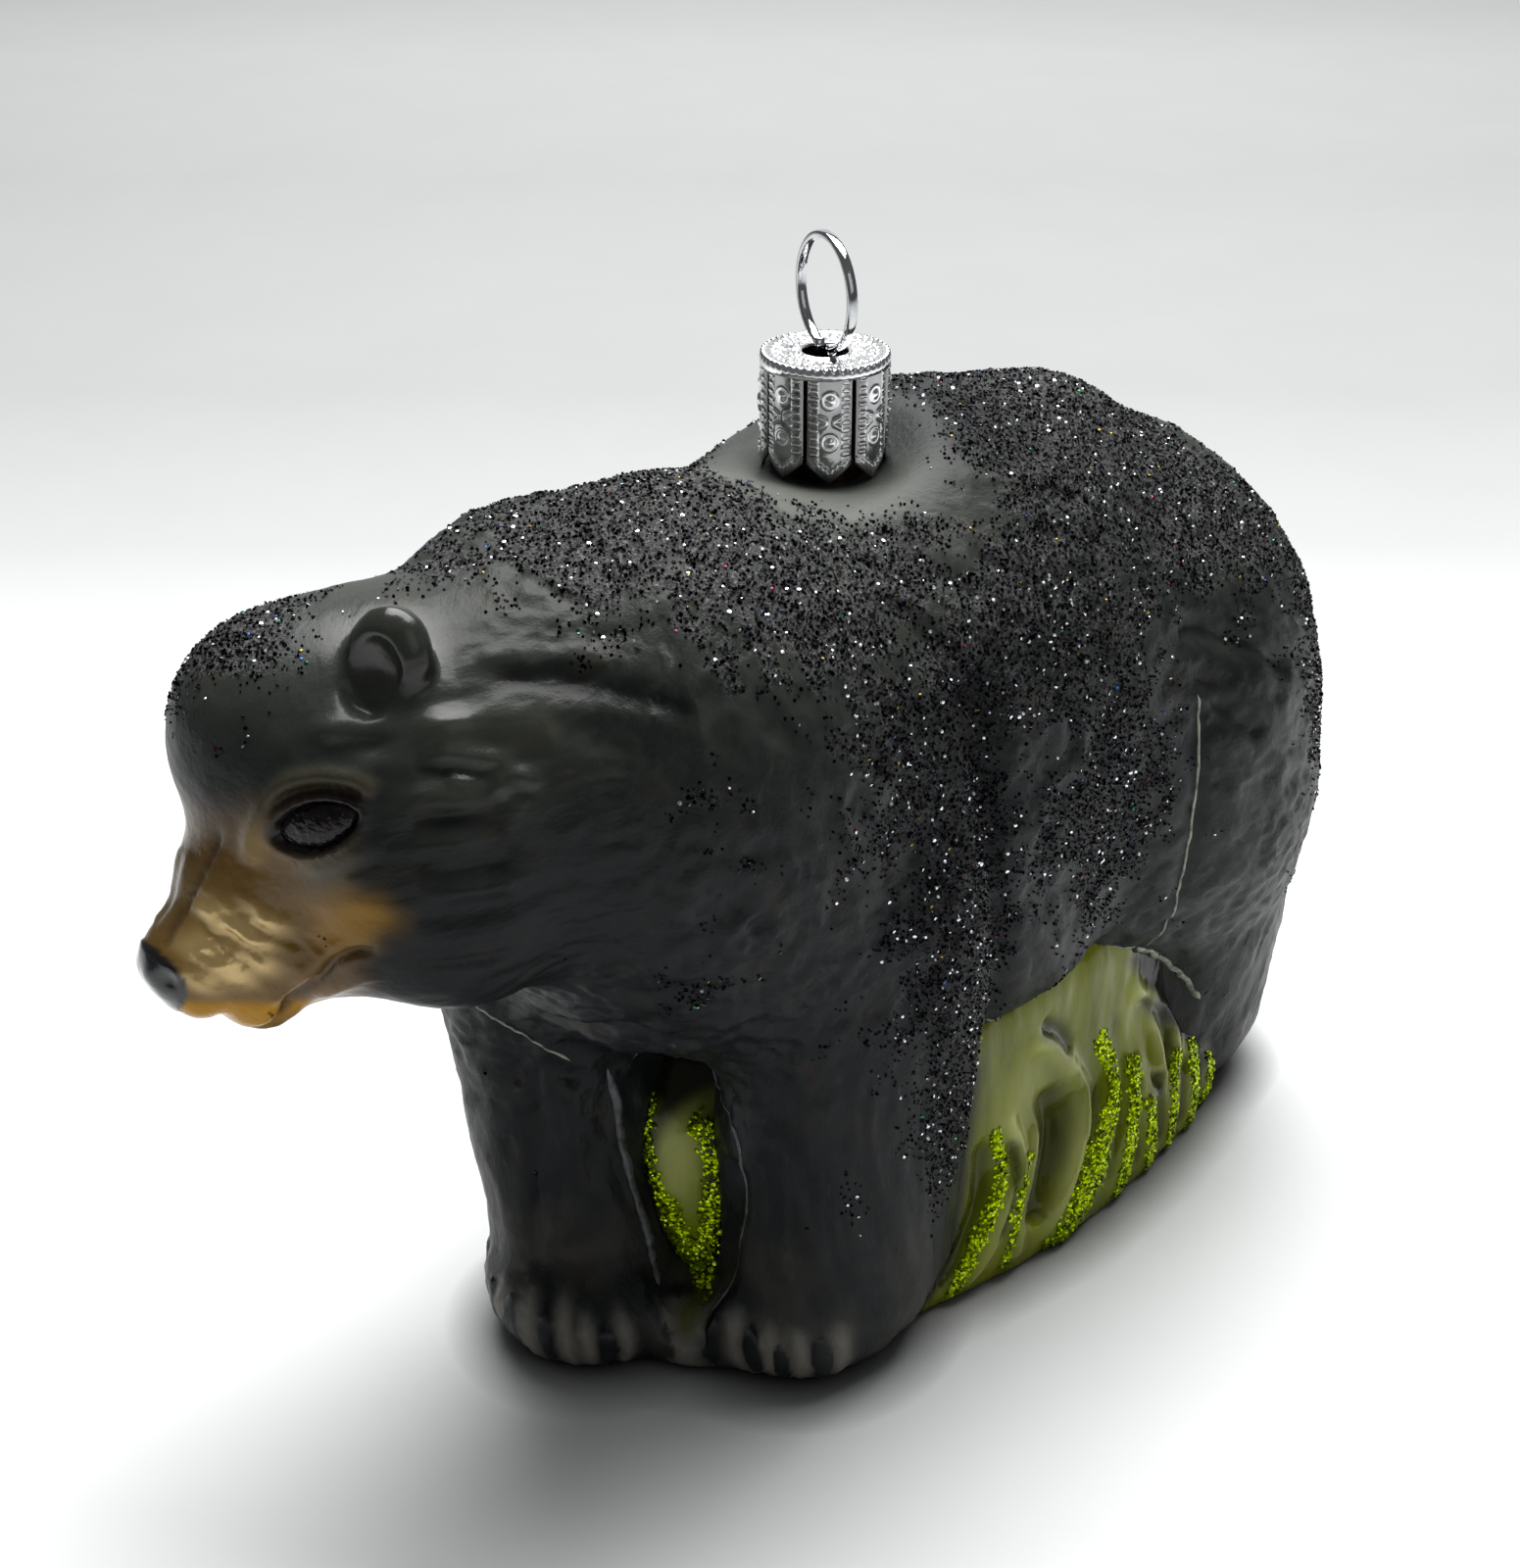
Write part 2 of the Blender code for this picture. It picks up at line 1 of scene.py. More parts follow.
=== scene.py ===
# %% [markdown]
# # A blown-glass bear ornament
# The real thing is one thin shell of glass, blown in a mould, silvered or painted by hand, dusted with
# glitter, and closed with a stamped metal cap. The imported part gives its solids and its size. These
# cells put a finely modelled skin, paint, glitter, a stamped cap and a ring on them.

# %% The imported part
import itertools
import math

import bmesh
import bpy
import numpy as np
from mathutils import Matrix, Vector
from mathutils.bvhtree import BVHTree


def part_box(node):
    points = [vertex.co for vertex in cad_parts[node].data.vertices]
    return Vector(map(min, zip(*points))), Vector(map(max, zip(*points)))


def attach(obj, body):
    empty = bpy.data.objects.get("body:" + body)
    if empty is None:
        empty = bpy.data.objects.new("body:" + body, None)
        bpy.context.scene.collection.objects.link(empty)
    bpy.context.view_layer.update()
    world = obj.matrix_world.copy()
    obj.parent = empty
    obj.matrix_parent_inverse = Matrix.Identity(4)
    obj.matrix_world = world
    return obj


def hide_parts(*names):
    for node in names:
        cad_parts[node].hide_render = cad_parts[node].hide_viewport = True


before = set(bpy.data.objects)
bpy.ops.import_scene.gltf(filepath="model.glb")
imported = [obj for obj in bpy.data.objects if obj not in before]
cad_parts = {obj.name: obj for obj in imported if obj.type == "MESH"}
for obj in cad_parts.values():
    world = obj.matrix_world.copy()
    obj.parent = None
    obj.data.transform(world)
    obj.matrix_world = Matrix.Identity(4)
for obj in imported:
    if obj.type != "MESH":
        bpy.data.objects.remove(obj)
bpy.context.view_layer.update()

# %% [markdown]
# ## Measuring in millimetres
# Everything is worked out in millimetres from the foot of the cap's axis, because the cap is the one
# piece with a standard size. The bear faces -Y and its left side is +X. One function takes such
# places to the part's own frame, in metres.

# %% Places
MM = 0.001
cap_low, cap_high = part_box("crown_cap")
CAP_TOP = cap_high.z / MM
AXIS = np.array([(cap_low.x + cap_high.x) / 2, (cap_low.y + cap_high.y) / 2, 0.0])


def to_frame(places):
    """Millimetres from the foot of the cap's axis, turned into metres in the part's frame."""
    return np.asarray(places, float) * MM + AXIS


def turning(about_x=0.0, about_y=0.0, about_z=0.0):
    """Rotation about x, then y, then z, in degrees, as a 3 by 3 matrix."""
    spin = [Matrix.Rotation(math.radians(a), 3, n) for a, n in zip((about_x, about_y, about_z), "XYZ")]
    return np.array(spin[2] @ spin[1] @ spin[0])


print("cap axis", AXIS, "cap top", CAP_TOP)

# %% [markdown]
# ## Meshes from arrays
# Each new surface is worked out as one array of places and one array of faces, and put into a mesh in
# one go. That is far quicker than adding vertices one by one, and the formula stays readable.


# %% Meshes
def grid_faces(rows, columns, wrap=False):
    """The quads between neighbouring places of a grid; wrap joins the last column to the first."""
    row, column = np.meshgrid(np.arange(rows - 1), np.arange(columns - (0 if wrap else 1)), indexing="ij")
    beside = (column + 1) % columns
    here, below = row * columns, (row + 1) * columns
    return np.stack([here + column, here + beside, below + beside, below + column], -1).reshape(-1, 4)


def round_angles(count):
    """So many even angles round a circle."""
    return np.linspace(0, 2 * math.pi, count, endpoint=False)


def signed_power(wave, power):
    """A wave raised to a power with its sign kept, which points or flattens an oval."""
    return np.sign(wave) * np.abs(wave) ** power


def make_mesh(name, places, faces):
    """A mesh from places in metres and an array with one row of corners for each face."""
    mesh = bpy.data.meshes.new(name)
    mesh.vertices.add(len(places))
    mesh.vertices.foreach_set("co", np.asarray(places, np.float32).ravel())
    mesh.loops.add(faces.size)
    mesh.loops.foreach_set("vertex_index", faces.astype(np.int32).ravel())
    mesh.polygons.add(len(faces))
    mesh.polygons.foreach_set("loop_start", np.arange(len(faces), dtype=np.int32) * faces.shape[1])
    mesh.update(calc_edges=True)
    return mesh


def in_scene(name, data):
    """A new object in the scene, for a mesh, a lamp or a camera."""
    made = bpy.data.objects.new(name, data)
    bpy.context.scene.collection.objects.link(made)
    return made


def gathered(name, parts):
    """One mesh from several (places, faces) pairs, with the places in millimetres."""
    count, all_faces = 0, []
    for places, faces in parts:
        all_faces.append(faces + count)
        count += len(places)
    all_places = np.concatenate([places for places, _ in parts])
    return make_mesh(name, to_frame(all_places), np.concatenate(all_faces))


def make_object(name, mesh, *finishes):
    made = in_scene(name, mesh)
    for finish in finishes:
        mesh.materials.append(finish)
    mesh.polygons.foreach_set("use_smooth", np.ones(len(mesh.polygons), bool))
    return made


def places_of(mesh):
    """Every vertex of a mesh, in millimetres."""
    found = np.empty(len(mesh.vertices) * 3, np.float32)
    mesh.vertices.foreach_get("co", found)
    return (found.reshape(-1, 3).astype(float) - AXIS) / MM


def put_places(mesh, places):
    mesh.vertices.foreach_set("co", to_frame(places).astype(np.float32).ravel())
    mesh.update()


def weld(mesh, distance=0.000004):
    """Joins vertices that meet, and turns every face outwards."""
    work = bmesh.new()
    work.from_mesh(mesh)
    bmesh.ops.remove_doubles(work, verts=work.verts, dist=distance)
    bmesh.ops.dissolve_degenerate(work, edges=work.edges, dist=distance / 4)
    bmesh.ops.recalc_face_normals(work, faces=work.faces)
    work.to_mesh(mesh)
    work.free()
    return mesh


def applied(obj):
    """The object's mesh with its modifiers made real; the object itself goes."""
    bpy.context.view_layer.update()
    mesh = bpy.data.meshes.new_from_object(obj.evaluated_get(bpy.context.evaluated_depsgraph_get()))
    bpy.data.objects.remove(obj)
    return mesh


def store(mesh, name, values):
    """Keeps one number from 0 to 1 for every vertex, for a material to read."""
    kept = mesh.attributes.new(name, "FLOAT", "POINT")
    kept.data.foreach_set("value", np.clip(values, 0, 1).astype(np.float32))


# %% [markdown]
# ## Smooth noise and strokes
# Two tools shape nearly all the small relief. Gradient noise gives the uneven, hand-worked look of
# glass and paint. A stroke is a soft line along a curve, like the mark of a modelling tool: it is
# pressed in for a groove, raised for a ridge, or used as a mask for paint.

# %% Noise and strokes
SLOPES = np.random.default_rng(3).normal(size=(4096, 3))
SLOPES /= np.linalg.norm(SLOPES, axis=1, keepdims=True)


def noise(points, seed=0):
    """From about -1 to 1: each corner of a unit cell has a fixed slope picked by a hash of the corner,
    and the heights of the eight slopes are blended across the cell by 6t^5 - 15t^4 + 10t^3."""
    cell = np.floor(points).astype(np.int64)
    part = points - cell
    ease = part**3 * (part * (part * 6 - 15) + 10)
    total = np.zeros(len(points))
    for corner in itertools.product((0, 1), repeat=3):
        x, y, z = (cell + corner).T
        code = (x * 73856093 ^ y * 19349663 ^ z * 83492791 ^ seed * 2654435) & 4095
        height = ((part - corner) * SLOPES[code]).sum(1)
        total += height * np.where(corner, ease, 1 - ease).prod(1)
    return total * 1.6


def ridges(points, seed=0):
    """Sharp crests with round valleys between: 0.5 - 2|noise|."""
    return 0.5 - 2 * np.abs(noise(points, seed))


def ramp(value, low, high):
    """0 below low, 1 above high, and 3t^2 - 2t^3 between."""
    t = np.clip((value - low) / (high - low), 0, 1)
    return t * t * (3 - 2 * t)


def curve_through(path, steps=9):
    """A smooth curve (Catmull-Rom) through a few places, with some steps between each two."""
    path = np.asarray(path, float)
    ends = np.concatenate([2 * path[:1] - path[1:2], path, 2 * path[-1:] - path[-2:-1]])
    t = np.linspace(0, 1, steps, endpoint=False)[:, None]
    pieces = []
    for a, b, c, d in zip(ends, ends[1:], ends[2:], ends[3:]):
        slope, bend = (c - a) * t, (2 * a - 5 * b + 4 * c - d) * t**2
        pieces.append(0.5 * (2 * b + slope + bend + (3 * b - a - 3 * c + d) * t**3))
    return np.concatenate(pieces + [path[-1:]])


def near_curve(points, curve, reach):
    """For each point, its distance to a curve and how far along the curve that is, from 0 to 1.
    Points further than the reach are left at a large distance."""
    distance, along = np.full(len(points), 1e3), np.zeros(len(points))
    close = ((points > curve.min(0) - reach) & (points < curve.max(0) + reach)).all(1)
    if not close.any():
        return distance, along
    here, best, at = points[close], np.full(close.sum(), 1e3), np.zeros(close.sum())
    for step, (start, end) in enumerate(zip(curve, curve[1:])):
        line = end - start
        t = np.clip((here - start) @ line / max(line @ line, 1e-9), 0, 1)
        away = np.linalg.norm(here - start - t[:, None] * line, axis=1)
        at = np.where(away < best, (step + t) / (len(curve) - 1), at)
        best = np.minimum(best, away)
    distance[close], along[close] = best, at
    return distance, along


def stroke(points, path, width, fade=0.12):
    """1 along a curve through the path, falling off as exp(-(distance / width)^2), thinner at its ends."""
    away, along = near_curve(points, curve_through(path), 3 * width)
    ends = ramp(along, 0, fade) * ramp(1 - along, 0, fade) if fade else 1.0
    return np.exp(-((away / width) ** 2)) * ends


def blob(points, centre, radii):
    """1 in the middle of an ellipsoid, 0.37 at its surface, falling smoothly to 0 outside."""
    return np.exp(-(((points - centre) / radii) ** 2).sum(1))


print("noise spans", noise(np.random.default_rng(1).uniform(0, 50, (2000, 3))).min())

# %% [markdown]
# ## The bear's masses
# The mould was cut as full, rounded forms that run into one another: barrel, shoulders, rump, neck,
# skull, muzzle and limbs. Each is an ellipsoid or a tapered column, and a smooth union melts them
# together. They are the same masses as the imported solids, so the skin lies where those lie.

# %% Masses
HEAD_PLACE = np.array([-7.0, -36.0, 58.0])
HEAD = turning(0, 0, -20) @ turning(0, -14, 0)
EAR_RADII = np.array([3.4, 2.3, 4.1])
EARS = {1: ((10.5, 6.6, 13.2), turning(0, 22, 38)), -1: ((-10.8, 8.0, 10.8), turning(0, -30, -38))}


def in_head(left, ahead, up):
    """A place given in the head's own directions, from its middle."""
    return HEAD_PLACE + HEAD @ np.array([left, -ahead, up], float)


def head_places(points):
    """Every point in the head's own directions: left, ahead and up."""
    return ((points - HEAD_PLACE) @ HEAD) * [1, -1, 1]


def left_side(points):
    """The same places with the bear's right side folded onto its left."""
    return points * [0, 1, 1] + np.abs(points) * [1, 0, 0]


def ball(centre, radii, blend, turn=None):
    return {"form": "ball", "centre": np.array(centre, float), "radii": np.array(radii, float),
            "blend": blend, "turn": np.eye(3) if turn is None else turn}


def head_ball(centre, radii, blend, turn=None):
    return ball(in_head(*centre), radii, blend, HEAD if turn is None else HEAD @ turn)


def column(start, end, wide, narrow, blend, deep):
    return {"form": "column", "start": np.array(start, float), "end": np.array(end, float),
            "wide": wide, "narrow": narrow, "blend": blend, "deep": deep}


BEAR = [
    ball((0, 9, 52), (23, 36, 28), 6),
    ball((0, -18, 55), (21, 21, 24.5), 6),
    ball((0, 34, 43.5), (26, 28, 28), 6),
    ball((10, 7, 37), (12, 18, 12), 4),
    ball((-10, 7, 37), (12, 18, 12), 4),
    ball((0, 28, 56), (13, 16, 20.4), 5),
    column((0, -24, 59.5), (-7, -38, 60), 18, 15, 5, 1.0),
    ball((-9, -26, 68), (9.6, 11, 9.2), 5),
    head_ball((0, 6, 2.5), (13.5, 12.5, 14.1), 4),
    head_ball((0, 12.0, 6.8), (9.6, 9.0, 9.7), 4),
    head_ball((0, 14.1, -4), (7.5, 8.3, 7.8), 4),
    head_ball((0, 19, -8.7), (5.0, 7.0, 5.0), 3, turning(-12)),
    head_ball((0, 9, -8.3), (9.5, 10, 5.2), 4),
    head_ball((7, 3, -3), (8, 11, 12), 4),
    head_ball((-7, 3, -3), (8, 11, 12), 4),
    head_ball(EARS[1][0], EAR_RADII, 1.2, EARS[1][1]),
    head_ball(EARS[-1][0], EAR_RADII, 1.2, EARS[-1][1]),
    column((13, -10, 44), (12.2, -11.5, 8), 10.5, 9.3, 6, 1.3),
    ball((10.8, -15.2, 4.6), (9.0, 9.3, 6.0), 4),
    column((-11.6, -22.3, 42), (-6.6, -23.3, 8), 10, 8.2, 6, 1.2),
    ball((-4.2, -27.4, 4.5), (8.8, 7.8, 5.8), 4),
    ball((3.5, -21.5, 2.2), (7, 6, 3.6), 4),
    column((13.4, 37, 34), (12.2, 43.2, 8), 13.2, 9.0, 6, 1.2),
    ball((11.7, 42.6, 5.3), (7.6, 9.7, 6.2), 3),
    column((-13, 37, 34), (-12.5, 42, 8), 13, 9.3, 6, 1.2),
    ball((-12, 41, 5.3), (8, 10, 6.3), 3),
    ball((0, 60.5, 45), (3.4, 3.5, 4.5), 3, turning(25)),
]
DISH = ball((1, -1, 86.5), (13, 12, 10.8), 4)
GRASS = [
    {"form": "block", "centre": np.array([0, 17, 14.0]), "halves": np.array([18.6, 33, 17]),
     "rounding": 6, "blend": 2},
    ball((0.5, -15, 16), (8.5, 8.5, 15), 2),
    ball((0, 47, 15), (7, 8, 19), 2),
    ball((9, 19, 4), (13.5, 35, 15), 3),
    ball((-9, 19, 4), (13.5, 35, 15), 3),
]


def distance_to(mass, points):
    """Distance to a mass, negative inside. Ball: |p/r| (|p/r| - 1) / |p/r^2|. Column: distance to its
    line less its radius there, with y squeezed by its depth. Block: distance to the box that its
    rounding leaves."""
    if mass["form"] == "ball":
        own, radii = (points - mass["centre"]) @ mass["turn"], mass["radii"]
        near = np.sqrt(((own / radii) ** 2).sum(-1))
        return near * (near - 1) / np.maximum(np.sqrt(((own / radii**2) ** 2).sum(-1)), 1e-9)
    if mass["form"] == "column":
        squash = np.array([1.0, 1.0 / mass["deep"], 1.0])
        start, line = mass["start"] * squash, (mass["end"] - mass["start"]) * squash
        own = points * squash - start
        part = np.clip(own @ line / (line @ line), 0, 1)
        radius = mass["wide"] + (mass["narrow"] - mass["wide"]) * part
        return np.linalg.norm(own - part[:, None] * line, axis=1) - radius
    past = np.abs(points - mass["centre"]) - (mass["halves"] - mass["rounding"])
    return np.linalg.norm(np.maximum(past, 0), axis=1) + np.minimum(past.max(1), 0) - mass["rounding"]


def melt(one, other, blend):
    """Smooth union: the lesser distance, less a fillet where the two are within the blend of each other."""
    near = np.maximum(blend - np.abs(one - other), 0) / blend
    return np.minimum(one, other) - near**3 * blend / 6


def melted(masses, points):
    whole = distance_to(masses[0], points)
    for mass in masses[1:]:
        whole = melt(whole, distance_to(mass, points), mass["blend"])
    return whole


def hollow(side):
    """The bowl of an ear: a ball a little in front of the ear's middle."""
    centre, turn = EARS[side]
    middle = in_head(*centre) + HEAD @ turn @ np.array([0, -2.7, -0.5])
    return ball(middle, (2.6, 1.75, 3.2), 0.8, HEAD @ turn)


HOLLOWS = [DISH, hollow(1), hollow(-1)]


def bear(points):
    """The melted masses, less the hollow round the cap and the bowls of the ears."""
    whole = melted(BEAR, points)
    for scoop in HOLLOWS:
        whole = -melt(-whole, distance_to(scoop, points), scoop["blend"])
    return whole


def grass(points):
    return melted(GRASS, points)


print(len(BEAR), "masses in the bear and", len(GRASS), "in the grass")

# %% [markdown]
# ## From masses to one even skin
# The masses could be meshed as separate shapes, but seams would show where they cross. Here their
# rough meshes are fused by a voxel remesh, which gives one closed surface of even quads, and every
# vertex then slides down the slope of the distance until it lies exactly on the melted surface.


# %% Skins
def ball_mesh(centre, radii, turn, rings=17, around=32):
    """A sphere grid: places (cos a sin b, sin a sin b, cos b), scaled by the radii, turned and moved."""
    b, a = np.meshgrid(np.linspace(0, math.pi, rings), round_angles(around), indexing="ij")
    unit = np.stack([np.cos(a) * np.sin(b), np.sin(a) * np.sin(b), np.cos(b)], -1).reshape(-1, 3)
    return (unit * radii) @ np.transpose(turn) + centre, grid_faces(rings, around, wrap=True)[:, ::-1]


def rough_shapes(masses):
    """Grids that stand roughly where the masses are; a column is a row of seven balls."""
    for mass in masses:
        if mass["form"] == "ball":
            yield ball_mesh(mass["centre"], mass["radii"], mass["turn"])
        elif mass["form"] == "column":
            for part in np.linspace(0, 1, 7):
                radius = mass["wide"] + (mass["narrow"] - mass["wide"]) * part
                middle = mass["start"] + (mass["end"] - mass["start"]) * part
                yield ball_mesh(middle, np.array([radius, radius * mass["deep"], radius]), np.eye(3))
        else:
            corner = np.array(list(itertools.product((-1, 1), repeat=3)), float)
            faces = np.array([[0, 1, 3, 2], [4, 6, 7, 5], [0, 4, 5, 1],
                              [2, 3, 7, 6], [0, 2, 6, 4], [1, 5, 7, 3]])
            yield corner * (mass["halves"] - 0.2 * mass["rounding"]) + mass["centre"], faces


def slope_of(distance, places, value):
    """The slope of a distance at each place, by a small step along x, y and z."""
    step = 0.03
    return np.stack([(distance(places + s) - value) / step for s in np.eye(3) * step], -1)


def skin_mesh(name, masses, distance, voxel, settles=6):
    """One closed mesh on the melted surface of the masses, and its outward directions."""
    rough = make_object(name, gathered(name, list(rough_shapes(masses))))
    fuse = rough.modifiers.new("fuse", "REMESH")
    fuse.mode = "VOXEL"
    fuse.voxel_size = voxel * MM
    mesh = applied(rough)
    places = places_of(mesh)
    for turn in range(settles):
        value = distance(places)
        slope = slope_of(distance, places, value)
        size = np.maximum((slope**2).sum(1), 0.2)
        places -= np.clip(value / size, -1.2, 1.2)[:, None] * slope
        if turn in (1, 3):
            put_places(mesh, places)
            places = evened(mesh)
    outward = slope / np.linalg.norm(slope, axis=1, keepdims=True)
    put_places(mesh, places)
    furthest = np.abs(distance(places)).max().round(4)
    print(name, len(mesh.polygons), "faces, furthest from the surface", furthest, "mm")
    return mesh, places, outward


def evened(mesh, factor=0.5):
    """Each vertex moved part of the way to the middle of its neighbours, which evens out a remesh."""
    ends = np.empty(len(mesh.edges) * 2, np.int32)
    mesh.edges.foreach_get("vertices", ends)
    one, other = ends.reshape(-1, 2).T
    places = places_of(mesh)
    total, count = np.zeros_like(places), np.zeros(len(places))
    for here, there in ((one, other), (other, one)):
        for axis in range(3):
            total[:, axis] += np.bincount(here, places[there, axis], len(places))
        count += np.bincount(here, minlength=len(places))
    return places + factor * (total / np.maximum(count, 1)[:, None] - places)


FINE = 0.36
bear_mesh, bear_rest, bear_out = skin_mesh("bear_skin", BEAR, bear, FINE)

# %% [markdown]
# ## Modelling the head
# A mould maker works from a clay or plaster head, so the face has thick lids, wrinkled skin on the
# muzzle, a cut for the mouth, folds in front of the ears and streaks of fur on the cheeks. The two
# sides are cut alike here, so each mark is given once, in the head's own directions (left, ahead, up).

# %% Marks on the head
# Another script worked out many of the places in this cell, by casting points onto the masses, and
# they were typed in. They are data, and follow from no driving size.
EYE_MIDDLE, EYE_TURN = np.array([11.0, 14.2, 2.6]), turning(10, 0, -45)
NOSE = ball((0, 0, 0), (4.2, 3.2, 2.9), 1)
NOSE_MIDDLE = np.array([0, 25.6, -8.9])
MOUTH = [(1.2, 19.6, -13.6), (2.6, 17.5, -13.1), (5, 16.4, -11.4), (7.3, 15, -10), (8.9, 14, -8.3),
         (10.2, 12.9, -7.6), (11.9, 11.2, -7.4)]
SEAM_OF_MUZZLE = [(2.5, 24.6, -6.3), (2.2, 23.9, -5.3), (2.2, 22.2, -3.4), (3.1, 21.2, -1.4),
                  (3.9, 19.8, 0.9), (4.4, 18.9, 3)]
BROW = [(6.5, 17.8, -0.4), (6.7, 17.9, 1.2), (7.8, 17.3, 3.2), (9.5, 15.8, 5.6), (11.3, 13.3, 6.3),
        (13.2, 10.9, 5.5), (13.8, 10.4, 4.2)]
LID_FOLD = [(8.2, 16.6, 3.6), (9.8, 15.5, 4.9), (11.3, 13.5, 5.3), (12.7, 11.9, 4.9), (13.3, 11, 4.1)]
LID = [(8.9, 16, 3.7), (10.2, 15, 4.4), (11.4, 13.7, 4.6), (12.5, 12.3, 4.3), (13.2, 11.4, 3.6)]

LEAN = turning(35, 0, 0)
BRIDGE = [(0, 25, -5.5), (0, 21, -1), (0, 19, 4), (0, 19, 8)]

# Each mark: path or middle, width or radii, height in millimetres.
HEAD_STROKES = [
    (BROW, 0.75, 0.55),
    (LID_FOLD, 0.42, -0.55),
    (LID, 0.4, 0.28),
    (MOUTH, 0.38, -0.7),
    ([(3, 19.4, -12.4), (5.4, 17, -10.4), (7.8, 15.2, -8.6), (10.2, 13.4, -6.4)], 0.7, 0.35),
    ([(2.6, 16.8, -14), (5, 15.2, -12.6), (7.8, 13.6, -10.8), (11, 11.2, -9)], 0.8, 0.4),
    (SEAM_OF_MUZZLE, 0.3, -0.32),
    ([(1.4, 24.6, -5), (1.2, 22.6, -2.6), (1.6, 21.4, 0.4)], 0.9, 0.25),
    ([(13, 7.4, 8.8), (14.7, 3.6, 8.1), (15, 1.4, 8.3), (16.1, -1, 7.5), (17.4, -3.3, 5.9),
     (18.7, -5.5, 3.4)], 1.7, 0.4),
    ([(14.7, 6, 6.9), (15.4, 3.4, 6.3), (16.4, 1, 4.9), (17.4, -1.2, 2.4)], 0.8, 0.35),
    ([(15.3, 5.7, 5.2), (16.2, 2.5, 4.1), (17, 0.3, 1.5)], 0.7, 0.3),
    ([(14.6, 7.6, 6.2), (15.6, 4.4, 5.4), (16.4, 2, 3.6)], 0.6, -0.35),
    ([(12.3, 1.2, 12.3), (13.7, -2.7, 12.1), (16, -7.2, 11.2), (18.3, -11.1, 9.9)], 1.1, 0.27),
    ([(13.2, 1, 11.3), (15.2, -3.4, 10.4), (17, -6.5, 9.3), (18.8, -9.9, 8), (20.4, -13.1, 6.3)],
     1.1, -0.3),
    ([(15.6, -1.4, 8.9), (17.2, -5.3, 8.2), (18.8, -8.8, 7), (20.2, -11.3, 5.5), (21.2, -14.1, 3)],
     1.1, 0.27),
    ([(16.4, -2, 7.2), (18, -5.6, 6), (19.4, -9, 4), (20.4, -12, 1)], 1.1, -0.27),
    ([(14.6, 8.2, 4.4), (15.8, 5.2, 3.4), (16.6, 2.4, 2.6)], 0.8, 0.2),
    ([(14.4, 8.4, 2.8), (15.8, 5.4, 2), (17, 1.4, 0.9)], 0.8, -0.3),
    ([(14.4, 8.6, 1), (15.9, 5.4, 0.2), (17, 1.6, -0.6)], 0.75, 0.24),
    ([(14.4, 8.6, -0.8), (15.8, 5.6, -1.5), (16.8, 1.8, -2)], 0.85, -0.3),
    ([(14.2, 8.8, -2.8), (15.6, 5.4, -3.4), (16.4, 1.6, -3.6)], 0.75, 0.22),
    ([(13.6, 9.4, -4.6), (15, 5.8, -5.4), (15.8, 1.6, -5.6)], 0.7, -0.24),
    ([(12.6, 9.6, -6.6), (14.2, 6.4, -7.2), (15.2, 2, -7.6)], 0.5, 0.25),
    ([(12, 9.2, -8.6), (13.6, 5.8, -9.4), (14.4, 1.6, -9.8)], 0.5, -0.3),
    ([(9, 15.6, 0), (11, 14, -0.4), (13.2, 11.4, 0.8)], 0.6, 0.25),
    ([(12, 13, -1), (13.4, 11, -0.2), (14.4, 9.2, 1.4)], 0.4, -0.25),
]
HEAD_BLOBS = [
    ((9.8, 7.1, 10.6), (1.6, 1.3, 1), 0.9),
    ((11.3, 11.4, 9.2), (2, 1.6, 1), 0.7),
    ((14.3, 4.6, 8.7), (1.6, 2.2, 0.9), 0.4),
    ((13, 9.8, 8), (1.6, 1.4, 0.8), -0.5),
    ((16.1, 4.3, 2.3), (1.5, 4, 0.9), -0.2),
    ((15.4, 6.9, -1.6), (1.5, 4.2, 0.8), -0.2),
    ((6.2, 14.5, 8.4), (3, 3, 2.5), 0.2),
    ((1.8, 17.7, -13.8), (3, 2.3, 1.6), 1.1),
    ((1, 21.2, -12.8), (2.6, 0.8, 1.6), -0.5),
    ((1.2, 23, -11.6), (2.4, 1.6, 1.2), 0.3),
]
PEARLS = [(5.2, 20.1, -4.8), (6.1, 18.8, -6), (3.8, 22.9, -6.4), (4.8, 21, -7.5), (4.2, 21.1, -3.7),
          (6.8, 17.9, -4.6), (4.4, 21.6, -6), (5.4, 20.4, -8.9), (6.4, 18.8, -8), (3.6, 22.6, -8.9)]


def eye_almond(own):
    """1 at the middle of the eye, 0 along its edge and negative outside: 1 - |y/3.3|^1.8 - |z/1.7|^1.8."""
    lean = own[:, 2] - 0.06 * own[:, 1]
    return 1 - np.abs(own[:, 1] / 3.3) ** 1.8 - np.abs(lean / 1.7) ** 1.8


